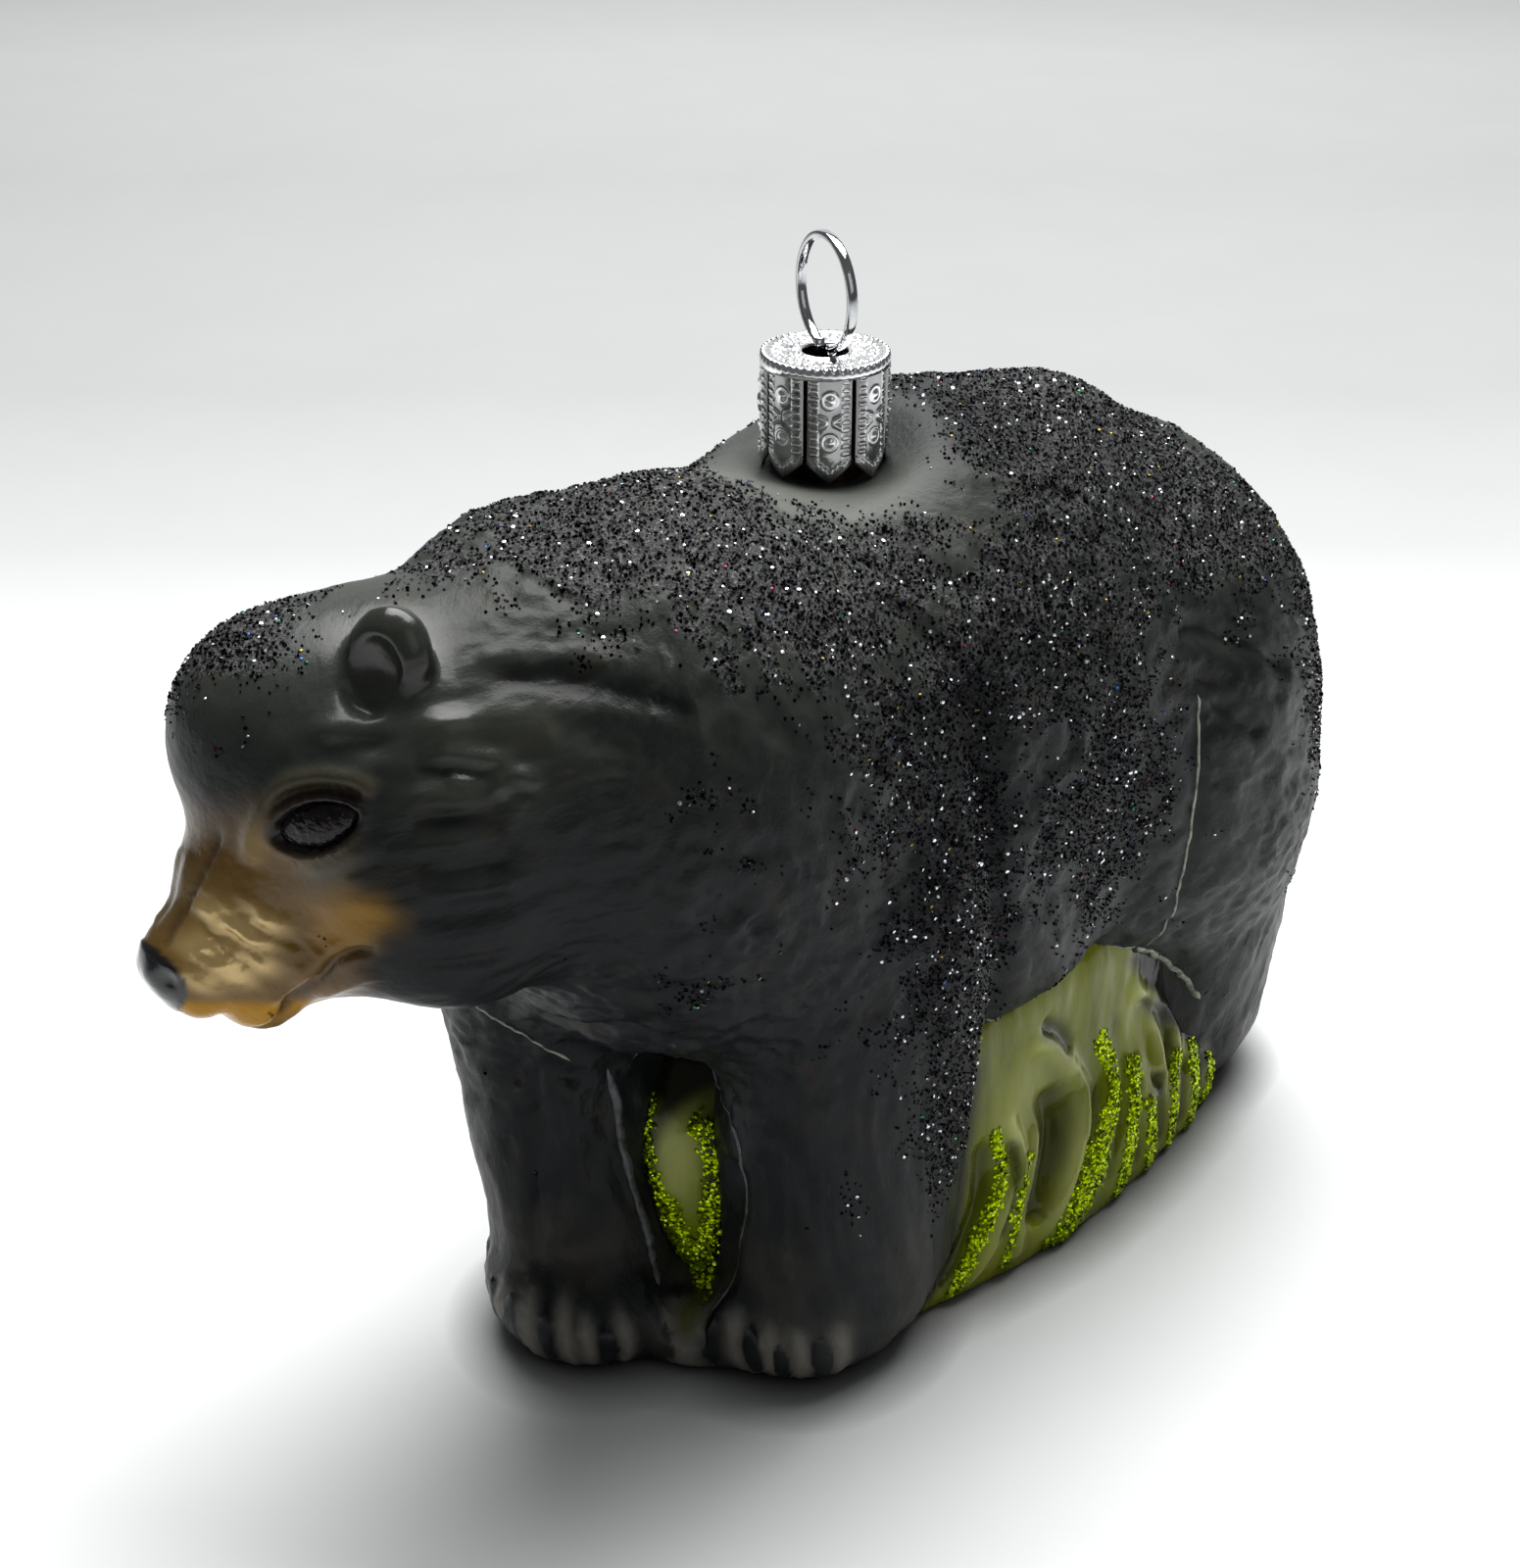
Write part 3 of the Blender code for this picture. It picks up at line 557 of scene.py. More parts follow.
def head_relief(head, near_head):
    """Heights, in millimetres, of every mark on the head."""
    own = left_side(head)
    height = np.zeros(len(head))
    for path, width, lift in HEAD_STROKES:
        height += lift * stroke(own, path, width)
    for middle, radii, lift in HEAD_BLOBS:
        height += lift * blob(own, middle, radii)
    almond = eye_almond(((own - EYE_MIDDLE) * [1, -1, 1]) @ EYE_TURN)
    height += -0.75 * ramp(almond, -0.25, 0.15) + 0.25 * np.exp(-(((almond + 0.5) / 0.3) ** 2))
    nose = distance_to(NOSE, own - NOSE_MIDDLE)
    height += 0.22 * ramp(-nose, -0.1, 0.15) - 0.55 * blob(own, (2.6, 24.2, -8.6), (0.75, 1.2, 0.7))
    groove = [(0, 27.5, -7.8), (0, 27.5, -9.6), (0, 26.5, -11.4), (0.2, 24.5, -12.6)]
    height -= 0.3 * stroke(own, groove, 0.45)
    height += 0.3 * blob(own, (1.5, 26.4, -8.2), (1.0, 1.2, 0.9))
    lean = own @ LEAN
    wrinkles = noise(lean * [0.55, 0.5, 1.05], 5) + 0.45 * noise(lean * [1.1, 0.9, 1.9], 6)
    height += 0.5 * wrinkles * blob(own, (5.6, 19.5, -6.6), (3.4, 4.6, 3.4))
    for number, middle in enumerate(PEARLS):
        size = 0.75 + 0.25 * math.sin(2.4 * number)
        height += 0.28 * blob(lean, np.array(middle) @ LEAN, np.array([1.2, 1.5, 0.6]) * size)
    streaks = noise(own * [0.5, 0.16, 0.72], 7)
    height += near_head * 0.45 * streaks * blob(own, (15, 3.0, 0.5), (8, 9, 10))
    return height


# %% [markdown]
# ## Modelling the body
# Long shallow waves of fur run back over the body and down the legs, with deeper folds behind the
# shoulder and on the rump. A line of fur is a noise that is stretched along the lie of the hair, so
# each part of the body gets a middle, a direction for its hair and how far it reaches.

# %% The lie of the fur
LIE = [  # middle, reach, direction of the hair
    (in_head(0, 2, 0), (17, 19, 17), HEAD @ np.array([0.25, 1.0, 0.10])),
    ((10, -30, 48), (16, 12, 14), (0.8, 0.55, -0.25)),
    ((16, -14, 60), (12, 14, 16), (0.3, 0.8, -0.5)),
    ((14, -14, 28), (14, 16, 20), (0.1, 0.25, -0.95)),
    ((10, 12, 62), (20, 22, 18), (0.25, 0.9, -0.35)),
    ((20, 34, 52), (14, 20, 18), (0.1, 0.75, -0.65)),
    ((14, 42, 20), (14, 16, 20), (0.0, 0.1, -1.0)),
]


def fur_places(points):
    """Places squeezed to a fifth along the hair, so that a noise there makes long strands. The squeezed
    places of the regions are mixed by how near each region is."""
    own = left_side(points)
    total, weights = np.zeros_like(own), np.full(len(own), 1e-6)
    for middle, reach, direction in LIE:
        along = np.array(direction, float)
        along[0] = abs(along[0])
        along /= np.linalg.norm(along)
        weight = blob(own, left_side(np.array(middle)), np.array(reach, float))
        part = own - middle
        total += weight[:, None] * (own - 0.82 * (part @ along)[:, None] * along)
        weights += weight
    return total / weights[:, None]


# Another script worked out several of the places in BODY_STROKES, as for the marks on the head.
BODY_STROKES = [
    ([(19.8, -4.6, 66), (20.8, -3.7, 58.8), (22.1, -3.4, 50.2), (21.6, -1.8, 39.8), (20, 0, 29),
     (18.5, 0, 20)], 1.9, -1.9),
    ([(19.5, -9, 60), (22, -9.5, 50), (22.5, -9, 40), (21.5, -9.5, 30)], 3.2, 0.5),
    ([(20.7, 23.5, 59.8), (22.6, 30.5, 57), (24.8, 38.2, 51)], 1.1, -0.8),
    ([(21.4, 22.6, 62.5), (23.3, 30, 59.4), (25.2, 38, 54)], 1.2, 0.55),
    ([(22.2, 24.8, 56), (24.1, 27.4, 51.8), (25.4, 32, 47)], 1, -0.7),
    ([(23, 23.5, 52), (24.2, 23.9, 42.3), (21.9, 24.8, 31)], 1.2, -0.55),
    ([(22.8, 28.5, 50), (24, 29, 41), (22.6, 29, 32)], 2.4, 0.35),
    ([(9, -22, 40), (4, -26, 32), (3, -26.5, 22), (4.5, -26, 12)], 1, -0.35),
    ([(17, -22, 33), (18, -20, 24), (18, -20, 15)], 1.6, 0.3),
    ([(14, -24, 30), (14.5, -23, 20), (14, -23, 12)], 1.2, -0.3),
    ([(-2, -29.3, 30), (-1.5, -30, 20), (-1.5, -31, 12)], 0.9, 0.4),
    ([(-4, -31.5, 30), (-4.5, -31.6, 20), (-4.5, -32, 12)], 0.9, -0.45),
    ([(-7.5, -32.5, 32), (-8, -32, 20), (-7, -32.5, 11)], 1.1, 0.35),
    ([(-11, -32, 32), (-11.5, -31, 20), (-10.5, -31.5, 11)], 0.9, -0.35),
    ([(9.6, -23.2, 24), (9.8, -23.2, 18), (8.4, -22.8, 11), (6, -22.4, 6)], 2, -1.7),
    ([(10.5, -31, 41), (5, -33.5, 39), (-1, -34, 37)], 1.3, -0.7),
    ([(15.5, -28, 40), (9, -30, 36.5), (3, -30.5, 34)], 1.2, 0.6),
    ([(18.5, -23, 38), (12.5, -26, 32.5), (8, -26.5, 30)], 1, -0.5),
]
BODY_BLOBS = [
    ((19.8, 29.5, 19.5), (4, 4, 4.5), -1.6),
    ((17.5, 13, 30), (5, 9, 4), 1.2),
    ((22, 44, 24), (4, 5, 2.6), -0.7),
]
PAWS = [  # middle, radii, angles of its claws from straight ahead towards the left, in degrees
    ((10.8, -15.2, 4.6), (9, 9.3), (-34, -6, 19.5, 34.5, 56)),
    ((-4.2, -27.4, 4.5), (8.8, 7.8), (-58, -30, -6, 21, 58)),
    ((11.7, 42.6, 5.3), (7.6, 9.7), (-42, -18, 6, 30, 54)),
    ((-12, 41, 5.3), (8, 10), (-54, -30, -6, 18, 42)),
]


def claws(points):
    """Masks of the claws and of the toes between them. Each claw is a narrow upright oval on the paw's rim,
    pointed at its top, and leans a little."""
    claw, toe = np.zeros(len(points)), np.zeros(len(points))
    for middle, radii, angles in PAWS:
        part = points - middle
        x, y = part[:, 0] / radii[0], part[:, 1] / radii[1]
        angle, out = np.degrees(np.arctan2(x, -y)), np.hypot(x, y)
        rim = ramp(out, 0.45, 0.6) * (np.abs(part[:, 2] + 1) < 8) * (out < 1.35)
        for number, at in enumerate(angles):
            top = 7.2 + 0.7 * math.sin(2.1 * number + middle[0])
            across = np.radians(angle - at) * sum(radii) / 2 + 0.10 * (points[:, 2] - 4)
            half = 0.80 + 0.12 * math.cos(3 * number)
            oval = 1 - (across / half) ** 2 - np.abs((points[:, 2] - top + 3.0) / 3.0) ** 2.5
            claw = np.maximum(claw, rim * ramp(oval, -0.12, 0.12))
            beside = np.exp(-(((np.abs(across) - 1.75) / 0.85) ** 2))
            toe = np.maximum(toe, rim * beside * ramp(top + 1.6 - points[:, 2], 0, 2.4))
    return claw, toe


def body_relief(points):
    """Heights, in millimetres, of the folds, the lines of fur, the toes and the claws."""
    own = points * [1, 1, 1]
    own[:, 0] = np.where(points[:, 1] < -18, points[:, 0], np.abs(points[:, 0]))
    height = np.zeros(len(points))
    for path, width, lift in BODY_STROKES:
        height += lift * stroke(own, path, width)
    for middle, radii, lift in BODY_BLOBS:
        height += lift * blob(left_side(points), middle, np.array(radii, float))
    fur = fur_places(points)
    bare = ramp(np.linalg.norm(points - [0, 0, 76], axis=1), 7, 16)
    strands = noise(fur * 0.42, 11) + 0.6 * ridges(fur * 0.6, 12) + 0.3 * ridges(fur * 1.3, 14)
    furry = np.clip(blob(own, (6, -32, 44), (24, 17, 26)) * 1.5, 0.6, 1)
    waves = 0.45 * bare * ridges(fur * 0.2, 15) * blob(own, (18, 2, 62), (12, 40, 20))
    height += 0.4 * bare * furry * strands + waves
    height += 0.25 * noise(points * 0.11, 13)
    claw, toe = claws(points)
    return height + 0.14 * toe + 0.2 * claw


# %% [markdown]
# ## The finished skin
# The marks move each vertex outwards or inwards along the surface. The floor flattens the paws. A
# decimation then spends the triangles where the relief is, mostly on the face, and leaves the wide
# flanks with larger ones.

# %% Skin with relief
bear_head = head_places(bear_rest)
near_head = ramp(bear_head[:, 1], -9, 3) * ramp(-bear_head[:, 2], -22, -19) * ramp(bear_head[:, 2], -17, -14)
on_head = head_relief(bear_head, near_head) * ramp(bear_head[:, 1], -16, -8)
lift = on_head + body_relief(bear_rest) * (1 - 0.75 * near_head)
bear_places = bear_rest + lift[:, None] * bear_out
bear_places[:, 2] = np.maximum(bear_places[:, 2], 0)
put_places(bear_mesh, bear_places)
print("relief from", lift.min().round(2), "to", lift.max().round(2), "mm")


def thinned(mesh, triangles, spend=None):
    """A mesh of quads thinned to about so many triangles; spend is how freely to thin at each vertex."""
    obj = make_object("thinning", mesh)
    count = 2 * len(mesh.polygons)
    if spend is not None:
        group = obj.vertex_groups.new(name="spend")
        for level in np.unique(np.round(spend, 1)):
            group.add(np.nonzero(np.round(spend, 1) == level)[0].tolist(), float(level), "REPLACE")
    if count > triangles:
        thin = obj.modifiers.new("thin", "DECIMATE")
        thin.ratio = triangles / count
        if spend is not None:
            thin.vertex_group, thin.vertex_group_factor = "spend", 1.0
    return applied(obj)


bear_mesh = thinned(bear_mesh, 190_000, 1 - 0.93 * near_head)
print("bear skin", len(bear_mesh.polygons), "triangles")

# %% [markdown]
# ## Colours and nodes
# Paint colours are written as the sRGB hex values a paint chart would give, and one function turns
# them into the linear light that shaders work in. One small function adds a node, sets it and links it.

# %% Colours and nodes
def hex_colour(code):
    """sRGB hex to linear: v/12.92 below 0.04045, ((v + 0.055)/1.055)^2.4 above."""
    value = [int(code[i:i + 2], 16) / 255 for i in (1, 3, 5)]
    return tuple(v / 12.92 if v <= 0.04045 else ((v + 0.055) / 1.055) ** 2.4 for v in value) + (1.0,)


def add(tree, kind, settings=None, **links):
    """Adds a node. Settings are its properties or its inputs' values; links are sockets for its inputs,
    by name, or by number as at0, at1 and so on."""
    made = tree.nodes.new("ShaderNode" + kind)
    for name, value in (settings or {}).items():
        if isinstance(name, str) and hasattr(made, name):
            setattr(made, name, value)
        else:
            made.inputs[name].default_value = value
    for name, socket in links.items():
        numbered = name.startswith("at") and name[2:].isdigit()
        tree.links.new(socket, made.inputs[int(name[2:]) if numbered else name.replace("_", " ")])
    return made


def finish(name, **settings):
    """A new material and its Principled shader, with values set on the shader's own sockets."""
    made = bpy.data.materials.new(name)
    made.use_nodes = True
    tree = made.node_tree
    tree.nodes.clear()
    surface = add(tree, "BsdfPrincipled", {k.replace("_", " "): v for k, v in settings.items()})
    add(tree, "OutputMaterial", Surface=surface.outputs[0])
    return made, tree, surface


def blend_colour(tree, factor, one, other):
    """Mixes two colours, each a hex code or a socket, by a socket."""
    made = add(tree, "Mix", {"data_type": "RGBA"})
    tree.links.new(factor, made.inputs[0])
    for index, colour in ((6, one), (7, other)):
        if isinstance(colour, str):
            made.inputs[index].default_value = hex_colour(colour)
        else:
            tree.links.new(colour, made.inputs[index])
    return made.outputs[2]


def attribute(tree, name):
    return add(tree, "Attribute", {"attribute_name": name}).outputs["Fac"]


def steps(tree, value, *stops):
    """A ramp from grey stops: (place, brightness)."""
    made = add(tree, "ValToRGB", Fac=value)
    while len(made.color_ramp.elements) < len(stops):
        made.color_ramp.elements.new(0.5)
    for element, (place, grey) in zip(made.color_ramp.elements, stops):
        element.position, element.color = place, (grey, grey, grey, 1)
    return made.outputs["Color"]


def speckle(tree, size, detail=3, rough=0.5, stretch=(1, 1, 1), source=None):
    """Noise whose lumps are about so many millimetres across, on Object coordinates in metres."""
    place = source or add(tree, "TexCoord").outputs["Object"]
    unit = size * MM if source is None else size
    scaled = add(tree, "Mapping", {"Scale": tuple(v / unit for v in stretch)}, Vector=place)
    settings = {"Scale": 1.0, "Detail": detail, "Roughness": rough}
    return add(tree, "TexNoise", settings, Vector=scaled.outputs[0]).outputs["Fac"]


def layered(tree, under, *layers):
    """Colours laid over one another, each where its mask is 1: (the mask's name, the colour)."""
    for mask, colour in layers:
        under = blend_colour(tree, attribute(tree, mask), under, colour)
    return under


def wire(tree, surface, colour, rough=None, height=None, strength=0.3, depth=0.1):
    """Links a colour, a roughness and the height of a bump, with its depth in millimetres, to a shader."""
    tree.links.new(colour, surface.inputs["Base Color"])
    if rough is not None:
        tree.links.new(rough, surface.inputs["Roughness"])
    if height is not None:
        bump = add(tree, "Bump", {"Strength": strength, "Distance": depth * MM}, Height=height)
        tree.links.new(bump.outputs[0], surface.inputs["Normal"])


# %% [markdown]
# ## Paint on the bear
# The glass is sprayed with black lacquer that dries satin, a little smoky where the coat is thin. The
# muzzle is sprayed with pearl and ochre, the nose and claws are brushed with gloss black. Where each
# paint lies is worked out once per vertex after the modelling, as a mask, and one material mixes them.
# Some of the masks hold painted light and shade instead of paint.

# %% Paint masks
skin_places = places_of(bear_mesh)
skin_head = head_places(skin_places)
side_head = left_side(skin_head)
mottle = noise(skin_places * 0.35, 21)
# Another script worked out most of these places.
OLIVE_LINE = [(4.2, -20.8, 7.8), (5.7, -22.1, 7.7), (6.6, -23.4, 6.6), (6.7, -24.7, 5.4), (6.9, -25.4, 4.7)]


def face_masks():
    """Masks of paint and of painted light and shade on the face, each given once for both sides."""
    left, ahead, up = side_head.T

    def spot(centre, radii):
        return blob(side_head, centre, radii)

    face = ramp(ahead, 4, 12)
    soft = 0.8 * mottle
    # The muzzle lies ahead of a slanting line from the inner corner of the eye to the corner of the mouth.
    back = ahead - 0.25 * left + 0.02 * up
    tan = face * ramp(back + soft, 7.2, 13) * ramp(7 - up + soft, 0.5, 8)
    tan = tan * ramp(up + 0.35 * ahead, -9.2, -6.6)
    ochre = spot((11.4, 12.6, -4.6), (2.8, 3, 2.4)) + 0.7 * spot((9.6, 14.3, -6.4), (2.6, 2.6, 2))
    ochre = ochre + 0.4 * spot((13, 11, -3.9), (2.4, 2.4, 1.8)) + 0.25 * mottle
    amber = spot((7.2, 16.8, -6), (2, 2, 2.8)) + 0.8 * spot((5.6, 18.4, -9.4), (1.8, 2, 1.4))
    leaning = side_head @ LEAN
    # The pearl spots on the muzzle's wrinkles are glossier and part metal, and also painted a lighter gold as
    # highlights.
    shiny = sum(blob(leaning, np.array(p) @ LEAN, (1.6, 1.6, 0.75)) for p in PEARLS)
    own = ((side_head - EYE_MIDDLE) * [1, -1, 1]) @ EYE_TURN
    return {
        "tan": tan, "ochre": 0.85 * ramp(ochre, 0.05, 1.35), "amber": face * amber, "shiny": shiny * face,
        "pearl": face * spot((4.4, 21, -5.6), (2.6, 3.4, 3.2)) * 0.9,
        "lip": face * ramp(-up + 0.22 * (ahead - 18), 11, 12.2) * ramp(ahead, 11, 15),
        "bridge": face * stroke(side_head, BRIDGE, 2.6) * ramp(6 - up, 0, 8),
        "under_eye": spot((11.5, 13.5, -0.6), (3.4, 3.4, 2.2)), "gilt": spot((7, 17.7, 1.2), (1.2, 1.2, 1.8)),
        "lid": 0.65 * stroke(side_head, BROW, 0.6) + 0.4 * stroke(side_head, LID, 0.35),
        # Painted shade: darker along the lid fold and the crease of the muzzle's seam.
        "fold": 1.2 * stroke(side_head, LID_FOLD, 0.5) + 0.9 * stroke(side_head, SEAM_OF_MUZZLE, 0.28),
        "rim": ramp(eye_almond(own), -0.75, -0.15) * (np.abs(own[:, 0]) < 4),
        "nose": ramp(-distance_to(NOSE, side_head - NOSE_MIDDLE), -0.16, 0.02),
        "lips": stroke(side_head, MOUTH, 0.42, 0.05),
        # Painted highlight: the upper cheek is painted lighter where light falls on it.
        "cheek_highlight": blob(side_head, (15.6, 3.4, 5.4), (4, 4.5, 3.6)),
    }, shiny


def body_masks(face, shiny):
    """Masks of the paint on the rest of the bear, of painted light and shade on it, and of how wet the
    lacquer looks.
    """
    height, side = skin_places[:, 2], left_side(skin_places)
    claw, toe = claws(skin_places)
    patches = noise(skin_places * [0.22, 0.22, 0.12], 23)
    low = ramp(24 - height + 5 * mottle, 0, 14) * ramp(patches, -0.25, 0.35)
    glossy = ramp(10 - height, 0, 8) * ramp(-noise(skin_places * 0.2, 24), -0.1, 0.4)
    ear = np.zeros(len(skin_places))
    for centre, _ in EARS.values():
        ear = np.maximum(ear, blob(skin_head, np.array(centre) + [0, 0, 1], (4.5, 3.6, 4.5)))
    # Painted shade lies along the head's deeper grooves, and painted highlights along its higher crests and
    # its first three bumps.
    grooves = [(path, width) for path, width, lift in HEAD_STROKES[7:] if lift < -0.28]
    crests = [(path, width * 0.8) for path, width, lift in HEAD_STROKES[8:] if lift > 0.28]
    crest_highlight = sum(stroke(side_head, *mark) for mark in crests) * ramp(side_head[:, 1], -6, 0)
    crest_highlight = crest_highlight + sum(blob(side_head, middle, np.array(radii) * 0.8) for middle, radii, _ in HEAD_BLOBS[:3])
    round_cap = ramp(np.hypot(skin_places[:, 0], skin_places[:, 1]), 5, 8)
    # Painted light: surfaces that face up, higher on the body, are painted lighter; less so behind the cap.
    normal = np.empty(len(skin_places) * 3, np.float32)
    bear_mesh.vertex_normals.foreach_get("vector", normal)
    facing = normal.reshape(-1, 3)[:, 2]
    upper = ramp(facing + 0.012 * (height - 60) + 0.12 * mottle, -0.1, 1) * ramp(height, 34, 66)
    wet = 0.8 * ear + face["nose"] + 0.12 * claw + 0.1 * face["rim"] + 0.6 * shiny
    wet = wet + 0.3 * face["tan"] * (1 - face["lip"]) + 0.25 * glossy + 0.3 * crest_highlight
    return {
        "claw": claw, "toe": toe, "smoke": low, "ear": ear, "crest_highlight": crest_highlight, "wet": wet,
        "shade": sum(stroke(side_head, *mark) for mark in grooves),
        # Painted shade: the rear edge of the rump on each side is painted darker.
        "olive": stroke(skin_places, OLIVE_LINE, 1.1, 0), "rump_edge_shade": 0.9 * blob(side, (25, 37, 50), (5, 7, 9)),
        # Painted light: the back just in front of the cap is painted lighter, against the cap's shadow.
        "dish": blob(skin_places, (5, -7, 78), (9, 8, 8)) * round_cap,
        "thigh": blob(side, (22, 31, 28), (9, 8, 15)),
        "upper": upper * (1 - 0.85 * blob(skin_places, (4, 9, 80), (10, 9, 9))),
    }


face_paint, pearl_shine = face_masks()
for name, mask in {**face_paint, **body_masks(face_paint, pearl_shine)}.items():
    store(bear_mesh, name, mask)
lay = bear_mesh.attributes.new("lay", "FLOAT_VECTOR", "POINT")
lay.data.foreach_set("vector", fur_places(skin_places).astype(np.float32).ravel())
print("masks", sorted(a.name for a in bear_mesh.attributes if a.data_type == "FLOAT"))

# %% [markdown]
# ## The lacquer material
# Sprayed satin lacquer over glass: a weak, wide highlight, a colour that wanders between smoke and
# black, and fine fur lines cut in the mould. The pearl on the muzzle holds mica, so it shines a
# little like metal. Gloss black on the nose and claws is smoother. Light and shade are painted in
# too: surfaces facing up are painted lighter, painted shade darkens the head's grooves, the lid fold,
# the muzzle's seam and the rump's rear edge, and painted highlights lighten the crests, the upper
# cheek, the pearl spots and the back in front of the cap.

# %% Lacquer
def lacquer():
    made, tree, surface = finish("satin_black_lacquer", IOR=1.5, Specular_IOR_Level=0.155,
                                 Coat_Roughness=0.2, Coat_IOR=1.7)
    cloud = steps(tree, speckle(tree, 14, 4, 0.55), (0.35, 0), (0.68, 1))
    fine = steps(tree, speckle(tree, 1.6, 4, 0.7), (0.3, 0), (0.75, 1))
    grit = steps(tree, speckle(tree, 0.32, 2, 0.7), (0.42, 0), (0.6, 1))

    # Painted light: a colour for lower surfaces and those not facing up, mixed to a lighter one where they
    # face up.
    def lit_from_above(below, above):
        return blend_colour(tree, attribute(tree, "upper"), below, above)

    # Painted shade below and painted top light above: near black, and a lighter clouded grey.
    deep = blend_colour(tree, cloud, "#0b0d0f", "#121617")
    top_light_grey = blend_colour(tree, cloud, "#2f322e", "#3c3f3b")
    coat = blend_colour(tree, fine, lit_from_above(deep, top_light_grey), lit_from_above("#14181a", "#383b36"))
    # Painted highlights on the upper cheek, the crests and in front of the cap, painted shade in the grooves
    # and on the rump's rear edge; the other layers are paint.
    coat = layered(tree, coat, ("cheek_highlight", "#363932"), ("shade", "#101212"), ("crest_highlight", "#33362f"),
                   ("ear", "#2a2c25"), ("thigh", "#2f3230"), ("smoke", "#2a2926"), ("toe", "#6b6861"),
                   ("dish", "#7f827b"), ("rump_edge_shade", "#131516"), ("olive", "#474a1c"))
    # The glitter crust is painted lighter where it faces up, as painted light.
    crust = lit_from_above("#08080a", "#1e1f20")
    crust = blend_colour(tree, grit, crust, lit_from_above("#1e1f22", "#676866"))
    # The pearl spots are painted a lighter gold, as painted highlights, over the muzzle's paints.
    muzzle = layered(tree, blend_colour(tree, fine, "#5c431b", "#705329"), ("under_eye", "#4a4636"),
                     ("bridge", "#5e4c30"), ("pearl", "#967a42"), ("amber", "#5e4409"), ("lip", "#aa7b1c"),
                     ("shiny", "#c6a86c"))
    # The fold layer is painted shade along the lid fold and the muzzle's seam.
    colour = layered(tree, coat, ("crust", crust), ("tan", muzzle), ("ochre", "#8d6712"), ("lid", "#5c523b"),
                     ("gilt", "#7d6530"), ("fold", "#2a2012"), ("lips", "#2c2013"), ("rim", "#0d0b09"),
                     ("claw", "#07090c"), ("nose", "#0f1114"))
    rough = blend_colour(tree, attribute(tree, "tan"), "#a8a8a8", "#8a8a8a")
    rough = layered(tree, rough, ("shiny", "#5c5c5c"), ("ear", "#606060"), ("claw", "#8c8c8c"),
                    ("nose", "#606060"), ("rim", "#8c8c8c"))
    wire(tree, surface, colour, rough)
    for mask, share, socket in (("wet", 0.6, "Coat Weight"), ("shiny", 0.35, "Metallic")):
        part = add(tree, "Math", {"operation": "MULTIPLY", 1: share}, at0=attribute(tree, mask))
        tree.links.new(part.outputs[0], surface.inputs[socket])
    lay = add(tree, "Attribute", {"attribute_name": "lay"}).outputs["Vector"]
    fur, grain = speckle(tree, 0.5, 3, 0.6, source=lay), speckle(tree, 0.35, 2, 0.6)
    height = add(tree, "Mix", {"data_type": "FLOAT", 0: 0.25}, at2=fur, at3=grain)
    bump = add(tree, "Bump", {"Strength": 0.4, "Distance": 0.2 * MM}, Height=height.outputs[0])
    rubble = add(tree, "Math", {"operation": "MULTIPLY"}, at0=attribute(tree, "crust"), at1=grit)
    settings = {"Strength": 0.7, "Distance": 0.16 * MM}
    rubble = add(tree, "Bump", settings, Height=rubble.outputs[0], Normal=bump.outputs[0])
    tree.links.new(rubble.outputs[0], surface.inputs["Normal"])
    return made


bear_skin = make_object("bear_skin", bear_mesh, lacquer())
FLESH = ["head", "muzzle", "lower_jaw", "nose", "neck", "shoulders", "barrel", "rump", "tail"]
FLESH += [part + side for part in ("ear_", "foreleg_", "forepaw_", "hindleg_", "hindpaw_")
          for side in ("left", "right")]
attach(bear_skin, "root")
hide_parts(*FLESH)
print("bear skin done, replaces", len(FLESH), "nodes")

# %% [markdown]
# ## Eyes
# Each eye is a drop of gloss black in a socket between two thick lids. It is its own piece: a grid of
# rings from the middle of an almond out to its edge and back behind, laid on the head's surface and
# domed. Brushed lacquer is never quite smooth, so a faint noise breaks up its reflection.

# %% Eyes
def surface_along(own, middle, turn):
    """For places (y, z) in a turned frame, the x at which its line meets the bear, by halving."""
    low, high = np.full(len(own), -4.0), np.full(len(own), 3.0)
    for _ in range(22):
        x = (low + high) / 2
        inside = bear(np.column_stack([x, own]) @ turn.T + middle) < 0
        low, high = np.where(inside, x, low), np.where(inside, high, x)
    return x


